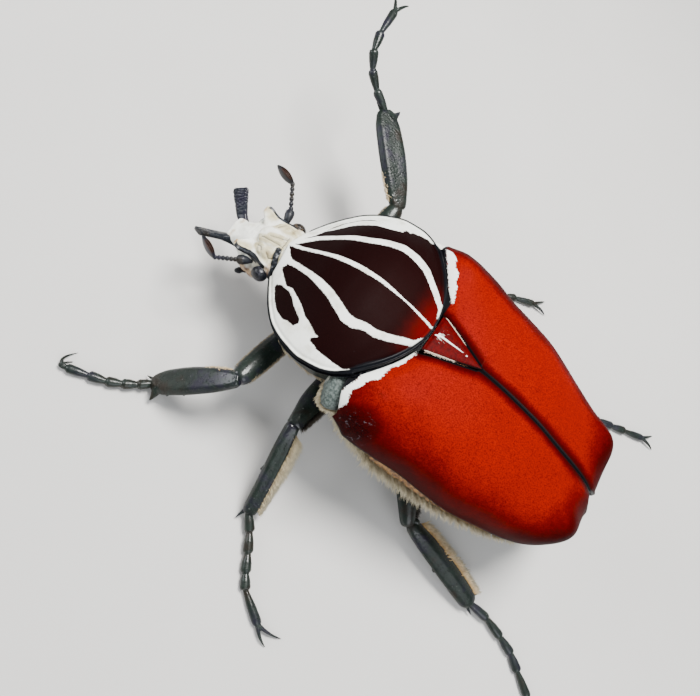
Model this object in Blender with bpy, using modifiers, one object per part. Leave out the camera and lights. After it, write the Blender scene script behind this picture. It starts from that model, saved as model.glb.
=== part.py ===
"""Goliath beetle, life size, standing on five feet with its right foreleg raised.

Lengths in the functions are millimetres. The working frame has x towards the head, y towards the
beetle's left and z up, with its zero under the middle of the pronotum's hind edge.
"""

import math

import bmesh
import bpy
from mathutils import Vector

MM = 0.001
GAP = 0.3
SIDES = {"left": 1, "right": -1}

# Where the floor and the middle of the whole model lie in the working frame
FLOOR_Z = -2.0
CENTRE_X = -10.5
CENTRE_Y = -0.8

# Pronotum: rows of run from hind edge to front edge, half width, rim height, middle height
PRONOTUM_ROWS = (
    (0.00, 14.9, 26.6, 28.2),
    (0.12, 16.8, 24.9, 28.8),
    (0.25, 17.6, 23.9, 29.2),
    (0.38, 17.7, 22.9, 29.2),
    (0.55, 16.7, 21.4, 28.2),
    (0.71, 14.8, 19.7, 25.9),
    (0.82, 12.4, 18.4, 23.1),
    (0.92, 9.4, 17.2, 20.5),
    (1.00, 6.4, 16.2, 18.9),
)
PRONOTUM_HIND_CORNER_X = 6.7
PRONOTUM_FRONT_X = 28.0
PRONOTUM_FRONT_CORNER_X = 26.6
PRONOTUM_RIM = 1.2
PRONOTUM_CROWN_POWER = 2.5

# Elytra: rows of x, half width, edge height, top height
ELYTRA_ROWS = (
    (4.4, 20.2, 19.2, 26.6),
    (1.5, 21.3, 18.4, 27.8),
    (-5.0, 20.8, 18.3, 28.6),
    (-12.0, 19.7, 17.1, 28.8),
    (-21.0, 19.1, 16.2, 28.1),
    (-30.0, 17.1, 15.4, 26.2),
    (-37.5, 14.8, 15.2, 24.3),
    (-42.3, 10.9, 14.9, 22.0),
    (-45.0, 5.6, 15.2, 19.2),
    (-46.0, 4.0, 15.6, 17.2),
)
ELYTRON_THICKNESS = 1.1
ELYTRON_POWER = 3.8
# Swellings of each elytron near its hind end and at its shoulder: x, y, rise, reach
ELYTRON_BUMPS = ((-41.5, 10.6, 2.7, 4.3), (0.5, 16.5, 0.7, 3.0))
ELYTRA_BASE_X = -0.9
ELYTRA_SHOULDER_X = 4.4

# Scutellum: a long triangle between the elytra
SCUTELLUM_BASE = (-0.6, 4.2, 28.1)
SCUTELLUM_TIP = (-10.2, 0.45, 29.0)
SCUTELLUM_DEPTH = 2.2

# Trunk under the plates: rows of x, half width, side height, top height, bottom height
PROSTERNUM_ROWS = (
    (7.1, 14.3, 20.0, 26.0, 9.8),
    (11.0, 15.8, 19.0, 25.6, 8.4),
    (16.0, 15.4, 18.0, 24.6, 7.6),
    (21.0, 12.2, 16.4, 21.6, 7.8),
    (24.5, 8.4, 15.2, 18.0, 8.6),
    (26.0, 5.6, 14.6, 17.0, 9.6),
)
METATHORAX_ROWS = (
    (6.7, 13.6, 18.6, 22.3, 10.4),
    (3.0, 16.8, 17.6, 23.4, 8.4),
    (-1.0, 18.6, 16.8, 25.3, 7.2),
    (-6.0, 18.8, 16.0, 26.8, 6.6),
    (-12.4, 18.2, 15.2, 27.2, 6.4),
)
ABDOMEN_ROWS = (
    (-12.7, 18.2, 15.2, 27.2, 6.6),
    (-21.0, 17.1, 14.6, 26.5, 6.4),
    (-30.0, 15.2, 14.2, 24.6, 6.8),
    (-37.5, 12.4, 14.0, 22.4, 7.8),
    (-42.0, 8.4, 13.8, 19.5, 9.2),
    (-43.6, 6.2, 13.8, 17.2, 10.0),
)
VENTRITES = 5
VENTRITE_STEP = 0.35

# Pygidium: rows of x, half width, side height, top height, bottom height
PYGIDIUM_ROWS = (
    (-43.9, 8.6, 12.6, 18.4, 8.9),
    (-45.4, 7.2, 12.4, 17.2, 9.2),
    (-46.8, 5.0, 12.2, 15.6, 9.9),
    (-47.5, 2.4, 12.0, 13.8, 10.9),
)

# Head: rows of x, half width, side height, top height, bottom height
HEAD_ROWS = (
    (25.4, 4.6, 14.8, 17.6, 10.6),
    (27.6, 5.7, 14.8, 18.2, 9.8),
    (29.5, 5.6, 14.6, 17.7, 9.4),
    (32.0, 5.0, 14.0, 16.6, 9.3),
    (34.5, 4.6, 13.2, 15.0, 9.6),
    (36.4, 3.9, 12.2, 13.6, 10.2),
    (37.5, 3.0, 11.8, 12.6, 10.8),
)
HEAD_LOBE = ((30.6, 4.5, 14.9), (33.4, 4.9, 15.1), (35.9, 4.8, 14.9))
HEAD_LOBE_RADII = ((1.0, 1.3), (1.0, 1.2), (0.55, 0.6))
EYE_CENTRE = (28.3, 6.1, 14.6)
EYE_RADII = (1.7, 1.35, 1.6)
HORN_PATH = ((36.4, 1.5, 11.9), (38.2, 2.9, 11.6), (40.0, 4.7, 11.7), (41.6, 6.3, 12.2))
HORN_WIDTHS = (0.95, 0.85, 1.1, 1.25)
HORN_DEPTHS = (0.7, 0.65, 0.75, 0.8)
PALP_PATH = ((30.2, 3.4, 9.6), (31.4, 5.2, 9.9), (32.4, 6.7, 10.6))
PALP_RADIUS = 0.6

# Antennae: scape foot, scape end, funicle end, club tip
ANTENNA_PATHS = {
    "left": ((30.9, 5.0, 14.2), (33.0, 6.6, 14.3), (36.1, 9.3, 14.6), (39.9, 7.8, 14.9)),
    "right": ((30.9, -5.0, 14.2), (31.9, -8.0, 14.8), (35.1, -12.7, 15.2), (39.3, -13.4, 15.4)),
}
SCAPE_RADIUS = 0.8
FUNICLE_BEADS = 6
FUNICLE_RADIUS = 0.42
CLUB_LEAVES = 3
CLUB_WIDTH = 0.95
CLUB_LEAF_STEP = 0.42

# White side plates between pronotum and elytra
SIDE_PLATE_CENTRE = (6.2, 16.3, 21.1)
SIDE_PLATE_RADII = (2.4, 2.7, 3.6)

# Legs: coxa, knee, end of tibia, then the end of each of the five tarsal segments
LEG_JOINTS = {
    "fore_left": ((17.0, 6.0, 10.0), (19.6, 23.1, 12.5), (30.4, 29.0, -0.6), (32.1, 30.7, -0.8),
                  (34.2, 32.3, -0.9), (36.5, 33.7, -1.0), (39.4, 34.8, -1.1), (43.0, 36.1, -1.2)),
    "fore_right": ((17.0, -6.4, 10.0), (17.2, -24.3, 16.3), (31.4, -37.0, 20.2), (34.9, -38.0, 21.5),
                   (38.0, -39.5, 23.2), (40.2, -41.7, 25.1), (41.5, -45.2, 26.2), (42.4, -51.1, 27.1)),
    "mid_left": ((6.4, 6.1, 8.4), (6.8, 22.1, 9.0), (2.6, 36.3, -0.2), (0.4, 38.6, -0.7),
                 (-1.6, 41.6, -1.0), (-3.3, 44.4, -1.1), (-5.0, 46.7, -1.2), (-10.2, 49.9, -1.2)),
    "mid_right": ((6.4, -6.1, 8.4), (1.0, -22.5, 9.5), (-9.0, -33.0, -0.2), (-11.5, -35.3, -0.7),
                  (-14.0, -37.8, -1.0), (-16.3, -40.0, -1.1), (-18.6, -41.8, -1.2), (-23.2, -44.2, -1.2)),
    "hind_left": ((-10.8, 6.9, 8.2), (-23.8, 20.0, 3.2), (-43.3, 23.4, -0.5), (-48.0, 23.5, -0.8),
                  (-52.4, 24.6, -1.0), (-56.1, 25.8, -1.1), (-59.1, 27.7, -1.2), (-63.3, 30.4, -1.2)),
    "hind_right": ((-10.8, -6.9, 8.2), (-24.5, -20.0, 3.2), (-43.0, -26.8, -0.5), (-47.4, -28.8, -0.8),
                   (-51.6, -30.9, -1.0), (-55.4, -32.3, -1.1), (-59.0, -33.8, -1.2), (-64.0, -35.7, -1.2)),
}
COXA_RADII = {"fore": (2.6, 4.4, 3.2), "mid": (2.6, 4.4, 2.4), "hind": (2.8, 5.2, 2.2)}
FEMUR_PROFILE = ((0.0, 1.2, 1.1), (0.15, 2.1, 1.7), (0.5, 2.7, 1.9), (0.85, 2.0, 1.5), (1.0, 1.2, 1.0))
TIBIA_PROFILES = {
    "fore": ((0.0, 0.9, 0.8), (0.12, 1.7, 1.0), (0.3, 2.3, 1.1), (0.55, 2.5, 1.15), (0.85, 2.25, 1.05),
             (1.0, 1.6, 0.8)),
    "mid": ((0.0, 0.9, 0.8), (0.2, 1.25, 1.1), (0.6, 1.5, 1.3), (0.93, 1.7, 1.4), (1.0, 1.35, 1.1)),
    "hind": ((0.0, 0.9, 0.8), (0.2, 1.3, 1.15), (0.6, 1.75, 1.4), (0.93, 1.95, 1.5), (1.0, 1.55, 1.2)),
}
# Teeth on the outer edge of each tibia: where along it, and how far out they reach
TIBIA_TEETH = {
    "fore": ((0.55, 0.45), (0.76, 0.5), (0.97, 1.6)),
    "mid": ((0.5, 0.6),),
    "hind": ((0.45, 0.6),),
}
TOOTH_RADIUS = 0.95
TOOTH_LEAN = 0.6
# Spurs inside the end of each tibia: how far along they reach, how far inward, where their root lies
TIBIA_SPURS = {
    "fore": ((1.9, 1.6, 0.5),),
    "mid": ((1.9, 1.1, 0.5), (1.9, -1.8, -0.2)),
    "hind": ((1.9, 1.1, 0.5), (1.9, -1.8, -0.2)),
}
SPUR_RADIUS = 0.63
SPUR_FLOOR_CLEARANCE = 0.5
TARSUS_WIDTH = 0.95
TARSUS_DEPTH = 0.85
CLAW_LENGTH = 4.4
CLAW_RADIUS = 0.5
CLAW_SPREAD = 0.42
# Curve of a claw seen from its side: first rise and then fall along its length
CLAW_RISE = 0.9
CLAW_FALL = 1.5
TARSUS_SPINE = 0.9
TARSUS_SPINE_RADIUS = 0.4

COLOURS = {
    "black": ((0.012, 0.012, 0.014, 1), 0.3),
    "white": ((0.78, 0.75, 0.68, 1), 0.75),
    "maroon": ((0.05, 0.008, 0.006, 1), 0.6),
    "red": ((0.35, 0.03, 0.006, 1), 0.6),
    "scutellum": ((0.2, 0.03, 0.02, 1), 0.6),
    "eye": ((0.03, 0.028, 0.03, 1), 0.2),
    "belly": ((0.02, 0.022, 0.02, 1), 0.4),
}


def clear_scene():
    for found in list(bpy.data.objects):
        bpy.data.objects.remove(found, do_unlink=True)


def new_collection(name):
    made = bpy.data.collections.new(name)
    bpy.context.scene.collection.children.link(made)
    return made


def new_material(name, colour, roughness):
    made = bpy.data.materials.new(name)
    made.use_nodes = True
    shader = made.node_tree.nodes["Principled BSDF"]
    shader.inputs["Base Color"].default_value = colour
    shader.inputs["Roughness"].default_value = roughness
    return made


def tangent(keys, at, column):
    """Slope of a column at a key, kept from overshooting."""
    if at in (0, len(keys) - 1):
        near, far = (0, 1) if at == 0 else (at - 1, at)
        return (keys[far][column] - keys[near][column]) / (keys[far][0] - keys[near][0])
    before = (keys[at][column] - keys[at - 1][column]) / (keys[at][0] - keys[at - 1][0])
    after = (keys[at + 1][column] - keys[at][column]) / (keys[at + 1][0] - keys[at][0])
    return 2 * before * after / (before + after) if before * after > 0 else 0.0


def smooth(keys, x):
    """Values of every column of the keys at x, along smooth curves through the rows."""
    if keys[0][0] > keys[-1][0]:
        keys = keys[::-1]
    x = min(max(x, keys[0][0]), keys[-1][0])
    at = max(i for i in range(len(keys) - 1) if keys[i][0] <= x)
    step = keys[at + 1][0] - keys[at][0]
    t = (x - keys[at][0]) / step
    values = []
    for column in range(1, len(keys[0])):
        rise = step * tangent(keys, at, column)
        fall = step * tangent(keys, at + 1, column)
        low, high = keys[at][column], keys[at + 1][column]
        values.append((2 * t**3 - 3 * t**2 + 1) * low + (t**3 - 2 * t**2 + t) * rise
                      + (3 * t**2 - 2 * t**3) * high + (t**3 - t**2) * fall)
    return values


def spread(first, last, count, ease=0.0):
    """Evenly spaced values, drawn towards both ends by ease."""
    steps = [i / (count - 1) for i in range(count)]
    eased = [t - ease * math.sin(2 * math.pi * t) / (2 * math.pi) for t in steps]
    return [first + (last - first) * t for t in eased]


def add_object(name, mesh, collection, material=None):
    data = bpy.data.meshes.new(name)
    mesh.to_mesh(data)
    mesh.free()
    made = bpy.data.objects.new(name, data)
    made.display_type = "WIRE" if collection.hide_render else "TEXTURED"
    collection.objects.link(made)
    if material:
        data.materials.append(material)
    return made


def grid_faces(mesh, rows, closed):
    """Quads between neighbouring rows of vertices, round each row when it is closed."""
    for near, far in zip(rows, rows[1:]):
        for i in range(len(near) if closed else len(near) - 1):
            j = (i + 1) % len(near)
            mesh.faces.new((near[i], near[j], far[j], far[i]))


def loft(name, rings, collection, material=None):
    """Closed solid through rings of equally many points."""
    mesh = bmesh.new()
    rows = [[mesh.verts.new(Vector(point) * MM) for point in ring] for ring in rings]
    grid_faces(mesh, rows, True)
    mesh.faces.new(rows[0][::-1])
    mesh.faces.new(rows[-1])
    bmesh.ops.recalc_face_normals(mesh, faces=mesh.faces)
    return add_object(name, mesh, collection, material)


def superellipse(angle, power):
    across, up = math.cos(angle), math.sin(angle)
    return (math.copysign(abs(across) ** (2 / power), across),
            math.copysign(abs(up) ** (2 / power), up))


def trunk_ring(x, half_width, side, top, bottom, powers, points):
    """Ring across the body: its upper and lower halves are parts of two superellipses."""
    ring = []
    for i in range(points):
        angle = 2 * math.pi * (i + 0.5) / points
        across, up = superellipse(angle, powers[0] if math.sin(angle) > 0 else powers[1])
        ring.append((x, half_width * across, side + (top - side if up > 0 else side - bottom) * up))
    return ring


def trunk(name, rows, steps, powers, points, collection, material, ridges=0):
    """Solid through the rows of a trunk part, with shallow steps where ridges part its underside."""
    rings = []
    for x in spread(rows[0][0], rows[-1][0], steps):
        half_width, side, top, bottom = smooth(rows, x)
        rings.append(trunk_ring(x, half_width, side, top, bottom, powers, points))
    if ridges:
        rings = ridged(rings, rows, powers, points, ridges)
    return loft(name, rings, collection, material)


def ridged(rings, rows, powers, points, ridges):
    """The rings of a trunk part with a step in at the hind end of each belly plate."""
    made = []
    length = rows[-1][0] - rows[0][0]
    for plate in range(ridges):
        for share, step in ((0.02, 0.0), (0.9, VENTRITE_STEP)):
            x = rows[0][0] + length * (plate + share) / ridges
            half_width, side, top, bottom = smooth(rows, x)
            made.append(trunk_ring(x, half_width + step, side, top, bottom - step, powers, points))
    made.append(rings[-1])
    made[0] = rings[0]
    return made


def ellipsoid(name, centre, radii, collection, material=None, segments=14, rings=9):
    mesh = bmesh.new()
    bmesh.ops.create_uvsphere(mesh, u_segments=segments, v_segments=rings, radius=1)
    for vertex in mesh.verts:
        vertex.co = Vector([(c + r * v) * MM for c, r, v in zip(centre, radii, vertex.co)])
    return add_object(name, mesh, collection, material)


def frame_along(direction, up=Vector((0, 0, 1))):
    """Sideways and upward unit vectors square to a direction."""
    sideways = direction.cross(up).normalized()
    return sideways, sideways.cross(direction).normalized()


def tube(name, path, widths, depths, sides, collection, material=None, up=Vector((0, 0, 1))):
    """Solid along a path, each ring an ellipse with its own half width and half depth."""
    path = [Vector(point) for point in path]
    rings = []
    for i, point in enumerate(path):
        direction = (path[min(i + 1, len(path) - 1)] - path[max(i - 1, 0)]).normalized()
        sideways, upward = frame_along(direction, up)
        turns = [2 * math.pi * (k + 0.5) / sides for k in range(sides)]
        rings.append([point + sideways * (widths[i] * math.cos(a)) + upward * (depths[i] * math.sin(a))
                      for a in turns])
    return loft(name, rings, collection, material)


def limb(name, start, end, profile, collection, material=None, bow=0.0, steps=7, sides=8):
    """Leg segment between two joints, its half width and half depth read from a profile."""
    start, end = Vector(start), Vector(end)
    upward = frame_along((end - start).normalized())[1]
    shares = spread(0, 1, steps, 0.5)
    path = [start.lerp(end, t) + upward * (bow * math.sin(math.pi * t)) for t in shares]
    sizes = [smooth(profile, t) for t in shares]
    return tube(name, path, [s[0] for s in sizes], [s[1] for s in sizes], sides, collection, material)


def cone(name, root, tip, radius, collection, sides=5):
    """Pointed tooth or spine from root to tip."""
    radii = [radius, radius * 0.14]
    return tube(name, [Vector(root), Vector(tip)], radii, radii, sides, collection)


def apply_modifiers(made):
    graph = bpy.context.evaluated_depsgraph_get()
    data = bpy.data.meshes.new_from_object(made.evaluated_get(graph))
    made.modifiers.clear()
    old, made.data = made.data, data
    bpy.data.meshes.remove(old)
    data.name = made.name


def keep_largest(made):
    """Leaves only the largest closed surface of an object."""
    mesh = bmesh.new()
    mesh.from_mesh(made.data)
    waiting = set(mesh.faces)
    pieces = []
    while waiting:
        border = [waiting.pop()]
        piece = set(border)
        while border:
            face = border.pop()
            near = {other for edge in face.edges for other in edge.link_faces} & waiting
            waiting -= near
            piece |= near
            border.extend(near)
        pieces.append(piece)
    largest = max(pieces, key=lambda piece: sum(face.calc_area() for face in piece))
    rest = [face for piece in pieces if piece is not largest for face in piece]
    bmesh.ops.delete(mesh, geom=rest, context="FACES")
    mesh.to_mesh(made.data)
    mesh.free()


def fuse(body, pieces):
    """Joins the pieces to the body in one union and removes their objects."""
    extras = bpy.data.collections.new(body.name + "_extras")
    for piece in pieces:
        extras.objects.link(piece)
    union = body.modifiers.new("Fuse", "BOOLEAN")
    union.operation = "UNION"
    union.operand_type = "COLLECTION"
    union.collection = extras
    union.solver = "MANIFOLD"
    apply_modifiers(body)
    for piece in pieces:
        bpy.data.objects.remove(piece, do_unlink=True)
    bpy.data.collections.remove(extras)
    keep_largest(body)
    return body


def grown_copy(source, by, collection):
    """Copy of an object with its surface moved outward."""
    mesh = bmesh.new()
    mesh.from_mesh(source.data)
    bmesh.ops.triangulate(mesh, faces=mesh.faces)
    mesh.normal_update()
    moves = [vertex.normal * (by * MM * vertex.calc_shell_factor()) for vertex in mesh.verts]
    for vertex, move in zip(mesh.verts, moves):
        vertex.co += move
    return add_object(source.name + "_cutter", mesh, collection)


def cut_clear(body, neighbours, cutters):
    """Cuts the body back from its neighbours, with the gap between them."""
    for neighbour in neighbours:
        cut_with(body, grown_copy(neighbour, GAP, cutters))


def cut_with(body, cutter):
    """Takes the cutter out of the body and removes it."""
    difference = body.modifiers.new("Cut", "BOOLEAN")
    difference.operation = "DIFFERENCE"
    difference.object = cutter
    difference.solver = "MANIFOLD"
    apply_modifiers(body)
    bpy.data.objects.remove(cutter, do_unlink=True)
    keep_largest(body)


def pronotum_point(run, across):
    """Point of the pronotum's top, by run from hind to front edge and share of the half width."""
    half_width, rim, middle = smooth(PRONOTUM_ROWS, run)
    hind = PRONOTUM_HIND_CORNER_X * across**2
    front = PRONOTUM_FRONT_X + (PRONOTUM_FRONT_CORNER_X - PRONOTUM_FRONT_X) * abs(across)
    bead = 0.35 if abs(across) > 0.99 else 0.0
    height = rim + (middle - rim) * (1 - abs(across) ** PRONOTUM_CROWN_POWER) + bead
    return (hind + (front - hind) * run, half_width * across, height)


def make_pronotum(collection, material):
    rings = []
    for run in spread(0, 1, 13, 0.3):
        top = [pronotum_point(run, across) for across in spread(-1, 1, 17, 0.35)]
        below = [pronotum_point(run, across) for across in (0.96, 0.5, 0, -0.5, -0.96)]
        rings.append(top + [(x, y, top[0][2] - PRONOTUM_RIM) for x, y, z in below])
    return loft("pronotum", rings, collection, material)


def elytron_point(share, across, side):
    """Point of an elytron's top, by share of its length and share of the way from suture to edge."""
    half_width, edge, top = smooth(ELYTRA_ROWS, ELYTRA_ROWS[0][0]
                                   + (ELYTRA_ROWS[-1][0] - ELYTRA_ROWS[0][0]) * share)
    sideways, up = superellipse(math.pi / 2 * (1 - across), ELYTRON_POWER)
    base = ELYTRA_BASE_X + (ELYTRA_SHOULDER_X - ELYTRA_BASE_X) * min(sideways / 0.8, 1) ** 2
    x = base + (ELYTRA_ROWS[-1][0] - base) * share
    y = max(half_width * sideways, GAP / 2)
    height = edge + (top - edge) * up
    for at_x, at_y, rise, reach in ELYTRON_BUMPS:
        height += rise * math.exp(-(((x - at_x) / reach) ** 2) - ((y - at_y) / reach) ** 2)
    return (x, y * side, height)


def make_elytron(name, side, collection, material):
    mesh = bmesh.new()
    rows = [[mesh.verts.new(Vector(elytron_point(share, across, side)) * MM)
             for across in spread(0, 1, 10)] for share in spread(0, 1, 15, 0.45)]
    grid_faces(mesh, rows, False)
    bmesh.ops.recalc_face_normals(mesh, faces=mesh.faces)
    if sum(face.normal.z for face in mesh.faces) < 0:
        bmesh.ops.reverse_faces(mesh, faces=mesh.faces)
    made = add_object(name, mesh, collection, material)
    shell = made.modifiers.new("Shell", "SOLIDIFY")
    shell.thickness = ELYTRON_THICKNESS * MM
    shell.offset = -1
    apply_modifiers(made)
    return made


def make_scutellum(collection, material):
    base_x, base_y, base_z = SCUTELLUM_BASE
    tip_x, tip_y, tip_z = SCUTELLUM_TIP
    rings = []
    for share in (0, 0.35, 0.7, 0.93, 1):
        x = base_x + (tip_x - base_x) * share
        y = base_y + (tip_y - base_y) * share**1.1
        z = base_z + (tip_z - base_z) * share
        depth = SCUTELLUM_DEPTH * (1 - 0.5 * share)
        rings.append([(x, -y, z - 0.25), (x, 0, z), (x, y, z - 0.25),
                      (x, y, z - depth), (x, 0, z - depth), (x, -y, z - depth)])
    return loft("scutellum", rings, collection, material)


def make_head(collection, material):
    head = trunk("head", HEAD_ROWS, 10, (2.6, 2.2), 20, collection, material)
    lobes = []
    for name, side in SIDES.items():
        path = [(x, y * side, z) for x, y, z in HEAD_LOBE]
        widths = [radii[0] for radii in HEAD_LOBE_RADII]
        depths = [radii[1] for radii in HEAD_LOBE_RADII]
        lobes.append(tube(f"lobe_{name}", path, widths, depths, 8, collection))
    return fuse(head, lobes)


def make_horn(name, side, collection, material):
    path = [(x, y * side, z) for x, y, z in HORN_PATH]
    return tube(name, path, HORN_WIDTHS, HORN_DEPTHS, 10, collection, material)


def make_palp(name, side, collection, material):
    path = [(x, y * side, z) for x, y, z in PALP_PATH]
    radii = [PALP_RADIUS * 0.8, PALP_RADIUS, PALP_RADIUS * 0.55]
    return tube(name, path, radii, radii, 8, collection, material)


def make_antenna(name, path, side, collection, material):
    foot, elbow, bend, tip = [Vector(point) for point in path]
    along = [foot.lerp(elbow, t) for t in (0, 0.4, 0.8, 1.1)]
    radii = [SCAPE_RADIUS * share for share in (0.5, 0.85, 1.0, 0.55)]
    scape = tube(name, along, radii, radii, 8, collection, material)
    stations = range(2 * FUNICLE_BEADS + 1)
    stem = [elbow.lerp(bend, i / stations[-1] * 1.05) for i in stations]
    radii = [FUNICLE_RADIUS * (1 if i % 2 else 0.65) for i in stations]
    pieces = [tube("stem", stem, radii, radii, 6, collection)]
    pieces += club_leaves(bend, tip, collection)
    return fuse(scape, pieces)


def club_leaves(bend, tip, collection):
    """The leaves of an antenna's club, stacked like the pages of a book."""
    sideways = frame_along((tip - bend).normalized())[0]
    leaves = []
    for leaf in range(CLUB_LEAVES):
        shift = sideways * (CLUB_LEAF_STEP * (leaf - (CLUB_LEAVES - 1) / 2))
        along = [bend.lerp(tip, t) + shift for t in (-0.04, 0.25, 0.6, 0.9, 1)]
        widths = [0.22, 0.3, 0.3, 0.28, 0.18]
        depths = [CLUB_WIDTH * share for share in (0.35, 0.85, 1.0, 0.75, 0.3)]
        leaves.append(tube("leaf", along, widths, depths, 6, collection))
    return leaves


def make_tibia(name, start, end, pair, outward, collection, material):
    tibia = limb(name, start, end, TIBIA_PROFILES[pair], collection, material, bow=0.5)
    start, end = Vector(start), Vector(end)
    direction = (end - start).normalized()
    sideways = frame_along(direction)[0]
    if sideways.dot(Vector(outward)) < 0:
        sideways = -sideways
    on_floor = end.z < 10
    pieces = []
    for share, reach in TIBIA_TEETH[pair]:
        half = smooth(TIBIA_PROFILES[pair], share)[0]
        root = start.lerp(end, share - 0.06) + sideways * (half * 0.4)
        tip = start.lerp(end, share) + direction * TOOTH_LEAN + sideways * (half + reach)
        pieces.append(cone("tooth", root, tip, TOOTH_RADIUS, collection))
    for along, inward, foot in TIBIA_SPURS[pair]:
        root = end - direction * 1.2 - sideways * foot
        tip = end + direction * along - sideways * inward - Vector((0, 0, 0.3))
        if on_floor:
            tip.z = max(tip.z, FLOOR_Z + SPUR_FLOOR_CLEARANCE)
        pieces.append(cone("spur", root, tip, SPUR_RADIUS, collection))
    return fuse(tibia, pieces)


def tarsomere(start, end, scale, collection, name="tarsomere", material=None):
    """Tarsal segment that widens from its foot to its end."""
    start, end = Vector(start), Vector(end)
    shares = (-0.08, 0.35, 0.86, 1.06)
    widths = [TARSUS_WIDTH * scale * s for s in (0.52, 0.72, 1.08, 0.75)]
    depths = [TARSUS_DEPTH * scale * s for s in (0.52, 0.78, 1.08, 0.75)]
    path = [start.lerp(end, t) for t in shares]
    return tube(name, path, widths, depths, 6, collection, material)


def claw(start, direction, sideways, turn, collection):
    """Curved claw that leaves the last tarsal segment to one side."""
    path = []
    for t in (-0.15, 0.2, 0.5, 0.8, 1.0):
        rise = CLAW_RISE * t - CLAW_FALL * t * t
        path.append(start + direction * (CLAW_LENGTH * t * math.cos(0.5 * t))
                    + sideways * (turn * CLAW_LENGTH * t) + Vector((0, 0, rise)))
    radii = [CLAW_RADIUS * s for s in (1.0, 0.95, 0.75, 0.5, 0.16)]
    return tube("claw", path, radii, radii, 5, collection)


def make_tarsus(name, joints, collection, material):
    joints = [Vector(joint) for joint in joints]
    first = joints[1] - joints[0]
    tarsus = tarsomere(joints[0] - first * 0.25, joints[1], 1.0, collection, name, material)
    pieces = []
    for i in range(1, len(joints) - 1):
        last = i == len(joints) - 2
        pieces.append(tarsomere(joints[i], joints[i + 1], 0.92 if last else 1.0, collection))
    for i in range(1, len(joints) - 1):
        direction = (joints[i] - joints[i - 1]).normalized()
        sideways = frame_along(direction)[0]
        for turn in (1, -1):
            root = joints[i] - direction * 0.5 + sideways * (turn * 0.35)
            tip = joints[i] + direction * (TARSUS_SPINE * 0.9) + sideways * (turn * TARSUS_SPINE)
            pieces.append(cone("spine", root, tip - Vector((0, 0, 0.3)), TARSUS_SPINE_RADIUS, collection, 4))
    direction = (joints[-1] - joints[-2]).normalized()
    sideways = frame_along(direction)[0]
    for turn in (CLAW_SPREAD, -CLAW_SPREAD):
        pieces.append(claw(joints[-1], direction, sideways, turn, collection))
    return fuse(tarsus, pieces)


def flatten_foot(foot, cutters):
    """Cuts off what hangs below the floor, which leaves small flats at floor level."""
    mesh = bmesh.new()
    bmesh.ops.create_cube(mesh, size=1)
    for vertex in mesh.verts:
        vertex.co = Vector((vertex.co.x * 400, vertex.co.y * 400, vertex.co.z * 10 - 5 + FLOOR_Z)) * MM
    cut_with(foot, add_object("floor_cutter", mesh, cutters))


def make_leg(key, joints, collection, cutters, materials):
    """Coxa, femur, tibia and tarsus of one leg, each cut clear of the one before."""
    pair = key.split("_")[0]
    side = 1 if joints[1][1] > 0 else -1
    black = materials["black"]
    coxa = ellipsoid(f"coxa_{key}", (joints[0][0], joints[0][1] * 0.95, joints[0][2] - 0.2),
                     COXA_RADII[pair], collection, black, 10, 7)
    toward = Vector(joints[1]) - Vector(joints[0])
    hip = Vector(joints[0]) + toward.normalized() * (COXA_RADII[pair][1] * 0.6)
    femur = limb(f"femur_{key}", hip, joints[1], FEMUR_PROFILE, collection, black)
    outward = (1, side * 0.3, 0) if pair != "fore" else (0.2, side, 0)
    tibia = make_tibia(f"tibia_{key}", joints[1], joints[2], pair, outward, collection, black)
    tarsus = make_tarsus(f"tarsus_{key}", joints[2:], collection, black)
    cut_clear(femur, [coxa], cutters)
    cut_clear(tibia, [femur], cutters)
    cut_clear(tarsus, [tibia], cutters)
    if key != "fore_right":
        flatten_foot(tarsus, cutters)
    return coxa, femur, tibia, tarsus


def place_on_floor(collection):
    """Hangs every piece on one empty that sets the model on the floor round the origin."""
    base = bpy.data.objects.new("beetle_base", None)
    collection.objects.link(base)
    base.location = Vector((-CENTRE_X, -CENTRE_Y, -FLOOR_Z)) * MM
    for made in collection.objects:
        if made is not base:
            made.parent = base


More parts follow.
